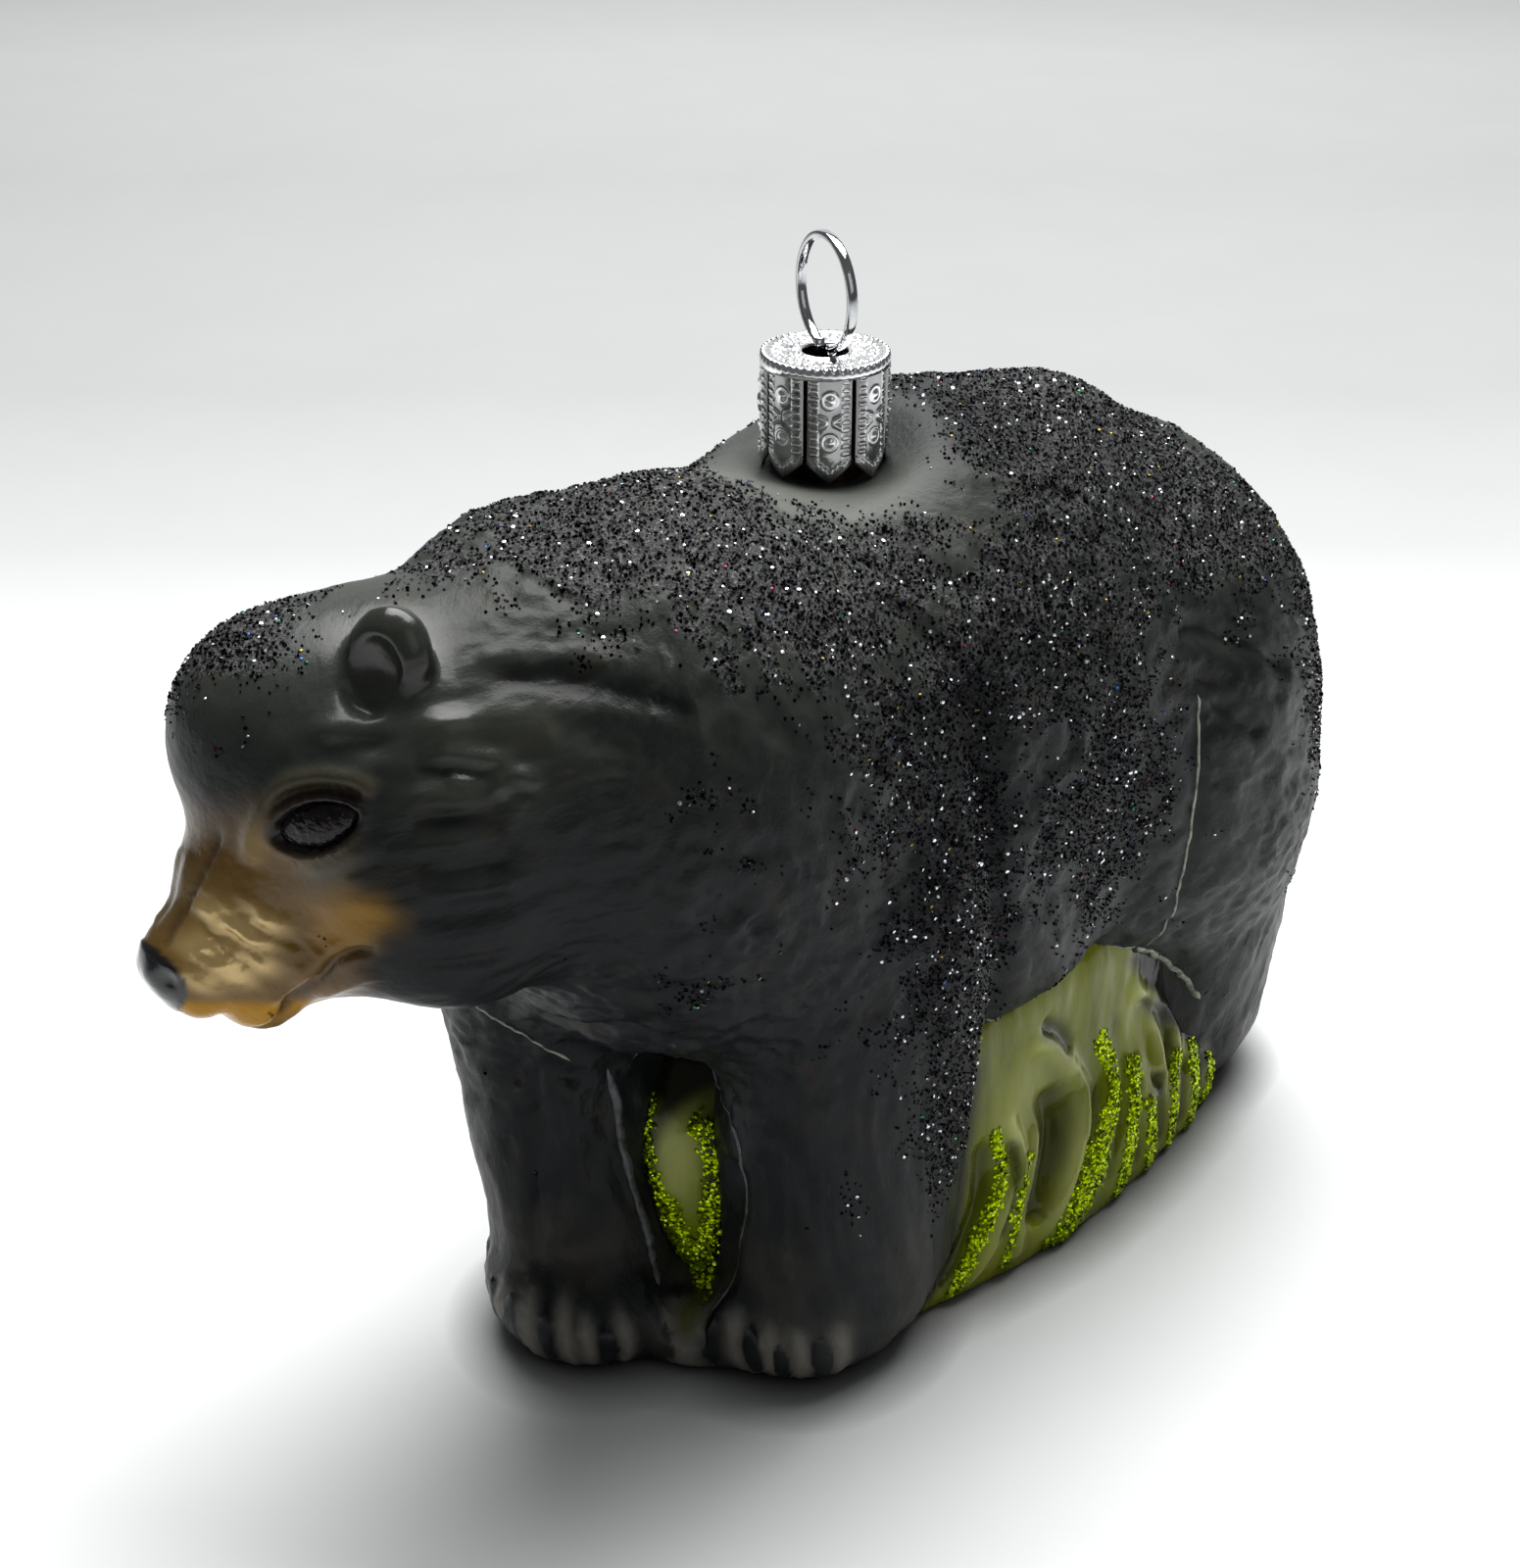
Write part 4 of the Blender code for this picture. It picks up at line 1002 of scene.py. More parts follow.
def eye_mesh(side):
    """Rings of an almond y = 3.25 cos a, z = 1.68 sin a (pointed by the power 1.12), with a dome
    0.72 sqrt(1 - ring^2) in front and 0.5 mm of thickness behind. The right eye is the left one mirrored."""
    ring = np.sin(np.linspace(0, math.pi / 2, 15))
    ring, angle = np.meshgrid(np.concatenate([ring, ring[::-1][1:]]), round_angles(56), indexing="ij")
    back = np.arange(ring.shape[0])[:, None] > 14
    y = 3.25 * ring * signed_power(np.cos(angle), 1.12)
    z = 1.68 * ring * signed_power(np.sin(angle), 1.12) + 0.06 * y
    turn = HEAD @ turning(10, 0, -45 * side) @ np.diag([side, 1.0, 1.0])
    middle = in_head(side * EYE_MIDDLE[0], EYE_MIDDLE[1], EYE_MIDDLE[2])
    own = np.column_stack([y.ravel(), z.ravel()])
    x = surface_along(own, middle, turn) - 0.62
    dome = np.sqrt(np.maximum(1 - ring**2, 0)).ravel()
    uneven = 0.035 * noise(np.column_stack([own, own[:, 0]]) * 1.4 + side, 31)
    x = x + np.where(np.broadcast_to(back, ring.shape).ravel(), -0.5 * dome, 0.72 * dome + uneven * dome)
    places = np.column_stack([x, own]) @ turn.T + middle
    return weld(make_mesh("eye", to_frame(places), grid_faces(*ring.shape, wrap=True)))


def eye_gloss():
    made, tree, surface = finish("gloss_black_enamel", IOR=1.5, Specular_IOR_Level=0.25)
    cloudy = steps(tree, speckle(tree, 0.9, 3, 0.6), (0.4, 0), (0.62, 1))
    wire(tree, surface, blend_colour(tree, cloudy, "#040405", "#1c1412"),
         blend_colour(tree, cloudy, "#202020", "#4a4a4a"), speckle(tree, 0.55, 3, 0.5), 0.9, 0.2)
    return made


eye_paint = eye_gloss()
for side, word in ((1, "left"), (-1, "right")):
    eye = make_object("eye_drop_" + word, eye_mesh(side), eye_paint)
    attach(eye, "root")
    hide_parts("eye_" + word)
print("eyes done")

# %% [markdown]
# ## The grass
# Behind and between the legs the mould leaves a solid bank of grass, so that the thin legs can be
# blown at all. Blades stand out as long ridges that curve down to the floor, one of them curled over
# like a leaf. Each ridge and valley is one stroke; the far side gets the same blades.

# %% Blades
# Another script worked out many of the places in these lists, as for the marks on the head.
STRIPES = [  # middle line of each glittered blade on the side, and its width
    ([(18.6, 3, 16.2), (19.5, 3.4, 11.2), (20.1, -0.6, 6), (19.1, -3.6, 0.5)], 0.85),
    ([(19.7, 7.2, 12), (20.7, 4.9, 8.5), (20.9, 3.4, 4.5), (20.7, 2.6, 1)], 0.62),
    ([(18.7, 14.7, 16.4), (19.4, 15.7, 13.9), (20.7, 15.1, 11.2), (21.3, 13.9, 9.7)], 0.55),
    ([(18.6, 19.4, 18.7), (20, 20.7, 12.8), (21.5, 17.6, 9.5), (22.3, 13.8, 5.3), (22, 10.8, 2.1),
     (21.4, 8.2, 0.2)], 1.25),
    ([(21.7, 16.8, 8.4), (22.3, 13.8, 5), (22.1, 11.6, 2.2), (21.6, 9.6, 0.2)], 2),
    ([(19.5, 24.5, 13.8), (21.5, 22.6, 9.3), (22.5, 20.5, 4.9), (22.2, 19.2, 0.3)], 1.2),
    ([(21.5, 24.9, 9.3), (22.3, 24.8, 4.7), (21.9, 25.2, 0.3)], 0.85),
    ([(20.2, 31.8, 10.8), (21.2, 29.8, 8.5), (21.9, 29.3, 3.1), (21.4, 29.6, 0.2)], 0.8),
    ([(19.9, 34.9, 10.6), (21, 34.1, 6.6), (21.1, 34, 2.2), (20.8, 34, 0.2)], 1.05),
    ([(20, 38.5, 7.2), (20.2, 38.9, 3.1), (20.2, 38.2, 0.2)], 0.85),
]
WINDOW_TIP = [(3.8, -20.5, 7.8), (4.6, -21.1, 7.8), (5.7, -22.1, 7.7), (6.9, -23.1, 7.4)]
FRONT_STRIPES = [
    ([(0.1, -21.9, 25), (0.2, -22.7, 22.4), (0.6, -23.2, 19.8), (1.6, -23.4, 17.1), (2.9, -23.2, 13.7),
     (3.8, -22.2, 9.6), (4.2, -21.4, 6)], 0.75),
    ([(2.2, -23.4, 16), (3.3, -23.2, 13), (4, -22.2, 9.6), (4.3, -21.6, 6.4)], 1.3),
    ([(3.8, -21.4, 23.8), (5.3, -20.8, 22.4), (6.3, -20.7, 19.2), (6.4, -20.7, 15.6), (5.5, -20.8, 11.5),
     (4.5, -20.9, 6.6)], 1.1),
    ([(6.3, -20.7, 18.6), (6.4, -20.7, 15.6), (5.5, -20.8, 11.5), (4.5, -21, 6.8)], 1.5),
]
GRASS_STROKES = [  # path, width, height of the relief
    ([(18.6, 7, 23), (18.6, 10.2, 21.8), (18.6, 13, 19.3), (19, 15.8, 14.9), (20.2, 15, 12.2),
     (21.6, 12.6, 8.8), (22, 9.7, 5.3), (21.7, 7.2, 1.5)], 1.1, 0.75),
    ([(18.6, 9.7, 24), (18.6, 12.7, 21.4), (18.6, 15, 18.2)], 0.8, -0.6),
    ([(18.8, 11.4, 16.6), (19.8, 11.2, 13), (20.7, 9.2, 10.1), (21.2, 7.2, 7.2), (21.2, 6, 4)],
     1.35, -1.1),
    ([(18.6, 4.7, 16.9), (19.5, 6.2, 12.4), (20.6, 2.9, 7.3), (19.4, -2.2, 0.5)], 0.85, 0.6),
    ([(19.4, 9.4, 14), (20.6, 6.9, 9.5), (21.2, 4.6, 4.6), (20.9, 4.2, 1.4)], 0.65, 0.5),
    ([(19, 5.4, 14), (20.6, 4.4, 9.2), (20.8, 1.6, 4.6)], 0.5, -0.45),
    ([(18.6, 24, 21.9), (18.9, 28.4, 16.6), (20.4, 28.6, 11.2), (21.9, 26.4, 7.3)], 0.9, 0.6),
    ([(18.6, 27.7, 19.5), (19.3, 32.3, 13.6), (20.8, 31.6, 9.6)], 0.8, 0.5),
    ([(18.8, 22, 19.5), (20.6, 21.8, 12.5), (22.2, 18.9, 7.5), (22.3, 16.6, 3)], 0.6, -0.55),
    ([(18.6, 26.2, 19), (19.6, 30.6, 13.6), (20.9, 28.9, 9.4)], 0.6, -0.6),
    ([(20.6, 24.4, 12), (22.2, 23.1, 7.4), (22.4, 22.6, 2)], 0.45, -0.4),
    ([(20.7, 27.2, 11), (22, 27, 7), (22, 27.2, 2)], 0.65, -0.6),
    ([(20.4, 33, 9.6), (21.4, 31.8, 6), (21.2, 31.8, 1.6)], 0.5, -0.45),
    ([(20.4, 36.5, 8), (20.6, 36.4, 2)], 0.45, -0.4),
    ([(19.6, 18.4, 14.5), (21.4, 15.4, 9.6), (22.2, 11.8, 6), (21.9, 8.9, 2.6)], 0.5, -0.5),
    ([(18.6, 2, 16), (19.4, 0.6, 10.1), (19.7, -2.8, 5.2), (19, -5.4, 2)], 1, -0.9),
]
PALE = [0, 3, 4, 6, 7]
DEEP = [1, 2, 5, 8, 9, 10, 11, 12, 13, 14, 15]


def grass_relief(points):
    """Ridges under the stripes, the strokes of the other blades, and a weak stretched noise."""
    own = left_side(points)
    height = 0.22 * noise(points * [0.2, 0.22, 0.08], 41) + 0.08 * noise(points * [0.8, 0.8, 0.22], 42)
    for path, width, lift in GRASS_STROKES:
        height += lift * stroke(own, path, width)
    for path, width in STRIPES:
        height += 0.32 * stroke(own, path, width * 1.2)
    height += 0.35 * stroke(points, FRONT_STRIPES[0][0], 1.1) + 0.9 * stroke(points, FRONT_STRIPES[2][0], 2.0)
    return height


grass_mesh, grass_rest, grass_out = skin_mesh("grass_bank", GRASS, grass, 0.42)
grass_places = grass_rest + grass_relief(grass_rest)[:, None] * grass_out
grass_places[:, 2] = np.maximum(grass_places[:, 2], 0.0)
put_places(grass_mesh, grass_places)
grass_mesh = thinned(grass_mesh, 150_000)
places = places_of(grass_mesh)
own = left_side(places)
pale = sum(stroke(own, *GRASS_STROKES[i][:2]) for i in PALE)
for path, width in STRIPES[3:]:
    pale = pale + 0.3 * stroke(own + [0, -0.9 * width - 0.6, 0], path, 0.7)
pale = pale + 0.7 * blob(places, (3.2, -22.5, 18), (3.2, 3, 8)) + 0.5 * blob(own, (19, 8.5, 17), (3, 4, 4))
# Painted shade: the grooves between the blades are painted dark.
deep = sum(stroke(own, GRASS_STROKES[i][0], GRASS_STROKES[i][1] * 1.45) for i in DEEP)
# Painted shadow where the grass runs in against the bear.
shadow = ramp(melted(BEAR, places), 1.6, 0.2) * ramp(26 - places[:, 2], 0, 3)
store(grass_mesh, "pale", pale)
# Painted shade: the top of the window, under the chest, is painted dark with the grooves.
window_top_shade = ramp(places[:, 2] + 0.16 * (places[:, 0] - 6.5) ** 2, 23, 27.5) * ramp(-12 - places[:, 1], 0, 3)
store(grass_mesh, "deep", 0.95 * deep + window_top_shade)
store(grass_mesh, "under", shadow)
side_green = sum(stroke(own, path, width * 1.3) for path, width in STRIPES)
front_green = sum(stroke(places, path, width * 1.3) for path, width in FRONT_STRIPES)
store(grass_mesh, "green", side_green + front_green)


def grass_paint():
    """Olive lacquer on silvered glass, paler along some blades and in the window, with painted shade in the
    grooves and at the window's top, and a painted shadow where the grass meets the bear.
    """
    made, tree, surface = finish("olive_lacquer_on_silvered_glass", IOR=1.5, Coat_Weight=0.06,
                                 Coat_Roughness=0.2, Specular_IOR_Level=0.14, Metallic=0.05)
    wash = steps(tree, speckle(tree, 7, 4, 0.6, stretch=(1, 1, 0.35)), (0.35, 0), (0.65, 1))
    # Over the wash: paler blades, painted shade in the grooves and the window's top, green paint, and a
    # painted shadow against the bear.
    colour = layered(tree, blend_colour(tree, wash, "#585e0d", "#7f8418"), ("pale", "#adb16c"),
                     ("deep", "#15170a"), ("green", "#6a7a00"), ("under", "#12130d"))
    grain = speckle(tree, 0.8, 3, 0.6, stretch=(1, 1, 0.3))
    wire(tree, surface, colour, blend_colour(tree, wash, "#606060", "#454545"), grain, 0.3, 0.15)
    return made


grass_bank = make_object("grass_bank", grass_mesh, grass_paint())
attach(grass_bank, "root")
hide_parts("grass")
print("grass", len(grass_mesh.polygons), "triangles")

# %% [markdown]
# ## Mould seams and worn edges
# Where the halves of the mould met, and along the edge of the grass, the lacquer has rubbed off a
# raised hairline and pale glass shows. A hairline is too thin to paint on the skin's vertices, so each
# is a flat cord laid on the finished skin: an ellipse carried along a curve, pointed at both ends.

# %% Hairlines
def surface_finder(*meshes):
    """A search tree over the triangles of some finished meshes, in metres."""
    corners, faces, count = [], [], 0
    for mesh in meshes:
        mesh.calc_loop_triangles()
        spots = np.empty(len(mesh.vertices) * 3, np.float32)
        mesh.vertices.foreach_get("co", spots)
        triangles = np.empty(len(mesh.loop_triangles) * 3, np.int32)
        mesh.loop_triangles.foreach_get("vertices", triangles)
        corners.append(spots.reshape(-1, 3))
        faces.append(triangles.reshape(-1, 3) + count)
        count += len(mesh.vertices)
    return BVHTree.FromPolygons(np.concatenate(corners).tolist(), np.concatenate(faces).tolist())


on_bear, on_grass = surface_finder(bear_mesh), surface_finder(grass_mesh)


def laid_on(finder, points):
    """The nearest places on a surface and its outward directions there, in millimetres."""
    found = [finder.find_nearest(Vector(p)) for p in to_frame(points)]
    return (np.array([f[0] for f in found]) - AXIS) / MM, np.array([f[1] for f in found])


def hairline(finder, path, width, proud, seed):
    """A cord along a path on a surface: at each place an ellipse of 8 corners, half the width across and
    proud of the skin by a little, both wandering with a noise and closing to a point at the ends."""
    curve = curve_through(path, 14)
    for _ in range(2):
        curve, outward = laid_on(finder, curve)
        curve[1:-1] = (curve[:-2] + 2 * curve[1:-1] + curve[2:]) / 4
    curve, outward = laid_on(finder, curve)
    onward = np.gradient(curve, axis=0)
    onward /= np.linalg.norm(onward, axis=1, keepdims=True)
    side = np.cross(onward, outward)
    t = np.linspace(0, 1, len(curve))
    wander = 1 + 0.45 * noise(np.column_stack([t * len(path) * 3.1, t * 0 + seed, t * 0]), 51)
    ends = np.sqrt(np.clip(ramp(t, 0, 0.06) * ramp(1 - t, 0, 0.06), 0, 1))
    half, rise = (0.5 * width * wander * ends)[:, None, None], (proud * wander * ends)[:, None, None]
    turn = round_angles(8)[None, :, None]
    places = curve[:, None] + half * np.cos(turn) * side[:, None] + rise * np.sin(turn) * outward[:, None]
    return places.reshape(-1, 3), grid_faces(len(curve), 8, wrap=True)


def joined(name, parts):
    """One welded mesh from several (places, faces) pairs."""
    return weld(gathered(name, parts))


def mirrored(path):
    return [(-x, y, z) for x, y, z in path]


# Another script worked out nearly all the places of CHEST_LINE and of the two WINDOW rims, about half
# of FLANK_LINE, and at least one each of GRASS_EDGE and GRASS_CORNER.
CHEST_LINE = [(-9.4, -34.1, 36.4), (-7.4, -33.4, 35.2), (-5.8, -32.8, 34.1), (-3.7, -31.4, 32.9),
              (-2, -29.5, 30.9)]
FLANK_LINE = [(23.9, 24.1, 53.8), (23.6, 24.3, 50.8), (24.2, 23.9, 42.3), (23, 24.4, 35),
              (21.7, 24.8, 29.4), (19.6, 25, 25.6)]
GRASS_EDGE = [(18.2, 1.5, 28.6), (17.9, 4.3, 28), (18.3, 12.6, 26.8), (18.9, 20, 26), (19.2, 24.3, 25.5)]
GRASS_CORNER = [(19.2, 24.3, 25.5), (19.7, 27, 23.2), (19.9, 29.3, 20.3), (20.6, 31.6, 18.3),
                (21.1, 33.9, 15.8)]
WINDOW_LEFT = [(-0.3, -26.4, 29.3), (0.2, -26, 23.2), (1, -25.2, 16.8), (2, -24.5, 10.4),
               (4.3, -25.2, 7.7)]
WINDOW_RIGHT = [(0.3, -24.1, 28.9), (8.6, -22.5, 28.5), (11.3, -23.5, 26.4), (11.9, -23.6, 22.6),
                (11.3, -23.5, 17), (9.1, -22.9, 11.2), (8.4, -24.7, 6.4)]
worn = [hairline(on_bear, CHEST_LINE, 0.26, 0.10, 1)]
for seed, (path, width) in enumerate(((FLANK_LINE, 0.3), (GRASS_EDGE, 0.32), (GRASS_CORNER, 0.7))):
    worn.append(hairline(on_bear, path, width, 0.12, 4 + seed))
    worn.append(hairline(on_bear, mirrored(path), width, 0.12, 9 + seed))
rims = [hairline(on_bear, WINDOW_LEFT, 0.9, 0.22, 2), hairline(on_bear, WINDOW_RIGHT, 0.4, 0.12, 3)]


def worn_glass(name, dark, pale):
    made, tree, surface = finish(name, IOR=1.5, Roughness=0.4)
    patchy = steps(tree, speckle(tree, 1.1, 3, 0.6), (0.35, 0), (0.6, 1))
    wire(tree, surface, blend_colour(tree, patchy, dark, pale), None, speckle(tree, 0.4, 2, 0.6), 0.3, 0.06)
    return made


for name, cords, paint in (("worn_lines", worn, worn_glass("bare_glass_line", "#4a4f46", "#9aa08e")),
                           ("window_rims", rims, worn_glass("thin_black_rim", "#17191b", "#4e5154"))):
    lines = make_object(name, joined(name, cords), paint)
    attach(lines, "root")
    print(name, len(lines.data.polygons), "faces")

# %% [markdown]
# ## Glitter
# Glitter is cut film: small six-sided flakes that fall into wet lacquer at all angles, in drifts where
# the brush went. Each flake here is a flat six-sided lens of twelve triangles with its own place, tilt
# and tint. Its texture patch for later baking lies where the flake stands on an unwrap of the skin.

# %% Flakes
def unwrap(points):
    """A place on the unwrap: the angle round the body's long axis, and the distance along it."""
    angle = np.arctan2(points[:, 0], points[:, 2] - 42) / (2 * math.pi) + 0.5
    return np.column_stack([0.02 + 0.96 * angle, 0.02 + 0.96 * np.clip((points[:, 1] + 66) / 132, 0, 1)])


def scattered(mesh, density, seed):
    """Random places on a mesh, with so many per square millimetre as the density function says at the
    middle of each triangle, and the outward directions there."""
    random = np.random.default_rng(seed)
    mesh.calc_loop_triangles()
    spots = places_of(mesh)
    corners = np.empty(len(mesh.loop_triangles) * 3, np.int32)
    mesh.loop_triangles.foreach_get("vertices", corners)
    a, b, c = (spots[corners.reshape(-1, 3)[:, i]] for i in range(3))
    cross = np.cross(b - a, c - a)
    area = np.linalg.norm(cross, axis=1) / 2
    wanted = random.poisson(area * density((a + b + c) / 3))
    pick = np.repeat(np.arange(len(area)), wanted)
    u, v = random.random((2, len(pick)))
    u, v = np.where(u + v > 1, 1 - u, u), np.where(u + v > 1, 1 - v, v)
    outward = cross[pick] / np.maximum(2 * area[pick, None], 1e-12)
    return a[pick] + u[:, None] * (b - a)[pick] + v[:, None] * (c - a)[pick], outward


def flakes(name, spots, outward, size, tints, shares, seed, tilt=0.55):
    """Lenses of six corners with a low peak on either side. Each is turned about the outward direction,
    tilted by a random amount and half sunk in the lacquer."""
    random = np.random.default_rng(seed)
    count = len(spots)
    up = outward + random.normal(size=(count, 3)) * tilt
    up /= np.linalg.norm(up, axis=1, keepdims=True)
    first = np.cross(up, random.normal(size=(count, 3)))
    first /= np.linalg.norm(first, axis=1, keepdims=True)
    second = np.cross(up, first)
    radius = size * 0.5 * random.uniform(0.65, 1.3, (count, 1))
    angle = np.arange(6) * math.pi / 3
    middle = spots + outward * radius * 0.45
    rim = [middle + radius * (np.cos(a) * first + np.sin(a) * second) for a in angle]
    places = np.stack(rim + [middle + 0.2 * radius * up, middle - 0.2 * radius * up], 1)
    one = np.array([(i, (i + 1) % 6, 6) for i in range(6)] + [((i + 1) % 6, i, 7) for i in range(6)])
    faces = (one[None] + 8 * np.arange(count)[:, None, None]).reshape(-1, 3)
    mesh = make_mesh(name, to_frame(places.reshape(-1, 3)), faces)
    tint = random.choice(len(tints), count, p=np.array(shares) / sum(shares))
    colours = np.array([hex_colour(t) for t in tints])[tint]
    kept = mesh.color_attributes.new("tint", "FLOAT_COLOR", "POINT")
    kept.data.foreach_set("color", np.repeat(colours, 8, 0).astype(np.float32).ravel())
    flat = np.array([(math.cos(a), math.sin(a)) for a in angle] + [(0, 0), (0, 0)]) * 0.0014
    patch = (unwrap(spots)[:, None] + flat[None]).reshape(-1, 2)
    uv = mesh.uv_layers.new(name="OFBake")
    uv.data.foreach_set("uv", patch[faces.ravel()].astype(np.float32).ravel())
    made = make_object(name, mesh)
    mesh.polygons.foreach_set("use_smooth", np.zeros(len(mesh.polygons), bool))
    print(name, count, "flakes,", len(faces), "triangles")
    return made


def glitter_film(name, rough):
    """Metallised film: a mirror in its own tint, with a slight crumple."""
    made, tree, surface = finish(name, Metallic=1.0, Roughness=rough)
    tint = add(tree, "Attribute", {"attribute_name": "tint"}).outputs["Color"]
    wire(tree, surface, tint, None, speckle(tree, 0.2, 2, 0.6), 0.4, 0.02)
    return made


DRIFTS = [  # middle, reach, strength; across the body both sides alike
    ((0, -22, 79), (16, 10, 7), 1.1),
    ((13, -14, 74), (9, 11, 7), 1.1),
    ((6, 24, 77), (21, 18, 9), 1.1),
    ((14, 34, 66), (13, 14, 9), 1),
    ((19, 6, 66), (8, 16, 9), 1.1),
    ((22, 12, 48), (6, 9, 15), 1),
    ((22, -8, 40), (6, 8, 22), 1.1),
    ((20, -12, 60), (7, 10, 9), 0.85),
    ((19, -11, 20), (5, 6, 10), 0.7),
    ((16, -31, 57), (5, 3.5, 10), 0.4),
    ((15, -31, 46), (8, 6, 3), 0.4),
    ((20, 47, 50), (8, 6, 15), 1),
    ((10, -32, 76), (8, 6, 4), 0.5),
]


def black_drifts(points):
    """How thickly glitter lies, from 0 to 1: the drifts, broken up by noise, and none round the cap, in the
    ears or on the face."""
    own = left_side(points)
    head = head_places(points)
    amount = np.zeros(len(points))
    for middle, reach, strength in DRIFTS:
        amount = np.maximum(amount, strength * blob(own, middle, np.array(reach) * 1.15) * 1.5)
    amount = np.maximum(amount, 1.3 * blob(head, (0, 13, 14), (9, 9, 6)) * ramp(head[:, 2], 5, 8))
    broken = noise(points * 0.16, 61) * 0.5 + noise(fur_places(points) * 0.4, 62) * 0.8
    amount = ramp(amount + 0.7 * broken, 0.38, 1.1)
    bare = ramp(np.hypot(points[:, 0], points[:, 1]), 8.5, 12) + ramp(70 - points[:, 2], 0, 6)
    fold = 1 - blob(own, (25, 31, 47), (8, 5.0, 14))
    lower = ramp(points[:, 2], 11, 20)
    for centre, _ in EARS.values():
        lower = lower * ramp(np.linalg.norm((head - centre) / 5.6, axis=1), 0.9, 1.1)
    return amount * np.clip(bare, 0, 1) * ramp(fold, 0.2, 0.6) * lower


store(bear_mesh, "crust", 0.8 * ramp(black_drifts(skin_places), 0.3, 1.0))
few = 1.0
spots, outward = scattered(bear_mesh, lambda p: 8.0 * few * black_drifts(p), 71)
black_film = glitter_film("black_glitter_film", 0.28)
tints = ["#08080b", "#100f15", "#26252d", "#eef0f6", "#8d7a3a", "#30508a", "#7c2f4a", "#2f7a4a"]
shares = [54, 26, 11, 6.2, 0.5, 0.3, 0.25, 0.3]
across, along = spots[:, 0], spots[:, 1]
thirds = (("front", along < -3), ("middle", np.abs(along - 10) <= 13), ("rear", along > 23))
for number, (word, part) in enumerate(thirds):
    for side, half in (("left", part & (across > 0)), ("right", part & (across <= 0))):
        name = "black_glitter_" + word + "_" + side
        drift = flakes(name, spots[half], outward[half], 0.28, tints, shares, 72 + number)
        drift.data.materials.append(black_film)
        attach(drift, "root")

# %% [markdown]
# ## Green glitter
# The blades are picked out with yellow-green glitter, brushed on as stripes that thicken in the middle.
# It lies much closer than the black, so the flakes are only lightly tilted and overlap.

# %% Green stripes
def green_stripes(points):
    own = left_side(points)
    amount = np.zeros(len(points))
    for path, width in STRIPES:
        amount = np.maximum(amount, stroke(own, path, width, 0.05))
    for path, width in FRONT_STRIPES:
        amount = np.maximum(amount, stroke(points, laid_on(on_grass, np.array(path))[0], width, 0.05))
    return 20 * few * ramp(amount + 0.22 * noise(points * 1.3, 63), 0.3, 0.6)


def window_tip(points):
    amount = stroke(points, WINDOW_TIP, 1.25, 0)
    return 20 * few * ramp(amount + 0.2 * noise(points * 1.3, 63), 0.3, 0.6)


spots, outward = scattered(grass_mesh, green_stripes, 74)
clear = melted(BEAR, spots) > -0.3
tip_spots, tip_outward = scattered(bear_mesh, window_tip, 76)
spots, outward = np.concatenate([spots[clear], tip_spots]), np.concatenate([outward[clear], tip_outward])
green_tints, green_shares = ["#b7d400", "#93ab00", "#d9f03a", "#55660a"], [48, 30, 12, 10]
green = flakes("green_glitter", spots, outward, 0.36, green_tints, green_shares, 75, 0.4)
green.data.materials.append(glitter_film("green_glitter_film", 0.3))
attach(green, "root")

# %% [markdown]
# ## The crown cap
# The cap is stamped from thin tinplate and silvered: a round top with a hole for the ring, and eight
# flaps that grip the glass neck. Each flap is embossed with ladder borders, two bosses, four spokes and
# a beaded point. A die presses a relief into sheet, so each flap is a grid whose height is a formula.

# %% Cap
CAP_RADIUS, FLAP_FOOT, FLAP_TIP, SHOULDER = 5.4, CAP_TOP - 9.7, 1.45, CAP_TOP - 0.85
SHEET = 0.28


def bump_ring(x, z, at, radius, width):
    return np.exp(-(((np.hypot(x, z - at) - radius) / width) ** 2))


def bead_row(distance, along, pitch, width):
    """A row of round beads along a line, from the distance to the line and the length along it."""
    beads = 0.25 + 0.75 * (0.5 + 0.5 * np.cos(2 * math.pi * along / pitch))
    return np.exp(-((distance / width) ** 2)) * beads


def flap_relief(x, z):
    """Height of the stamped pattern, in millimetres, at x across a flap and z up it."""
    side, middle = np.abs(x), FLAP_FOOT + 5.4
    upper = ramp(z, FLAP_FOOT + 1.9, FLAP_FOOT + 2.3)
    rails = np.exp(-(((side - 1.02) / 0.085) ** 2)) + np.exp(-(((side - 1.66) / 0.085) ** 2))
    rungs = ramp(side, 1.0, 1.1) * ramp(1.68 - side, 0, 0.1)
    rungs = rungs * ramp(np.cos(2 * math.pi * (z - FLAP_FOOT) / 0.66), 0.2, 0.9)
    height = upper * (0.11 * rails * (0.75 + 0.25 * np.cos(2 * math.pi * z / 0.5)) + 0.2 * rungs)
    for at, size in ((middle + 1.75, 0.42), (middle - 1.75, 0.34)):
        height += 0.36 * np.exp(-((np.hypot(x, z - at) / size) ** 2)) + 0.12 * bump_ring(x, z, at, 0.66, 0.1)
    for lean, near, far in ((0.42, 0.25, 0.95), (-0.5, 0.25, 0.95)):
        across = z - middle - lean * side * (1 if lean > 0 else 1.2)
        spoke = 0.42 * np.exp(-((across / 0.17) ** 2)) * ramp(side, near - 0.12, near + 0.05)
        height += spoke * ramp(far - side, -0.08, 0.1)
    point = z - (FLAP_FOOT + 0.95 + 0.82 * side)
    height += 0.42 * bead_row(point * 0.78, side * 1.3 + 0.25, 0.5, 0.22) * ramp(1.25 - side, 0, 0.15)
    height += 0.10 * ramp(-point, 0.1, 0.3)
    return height


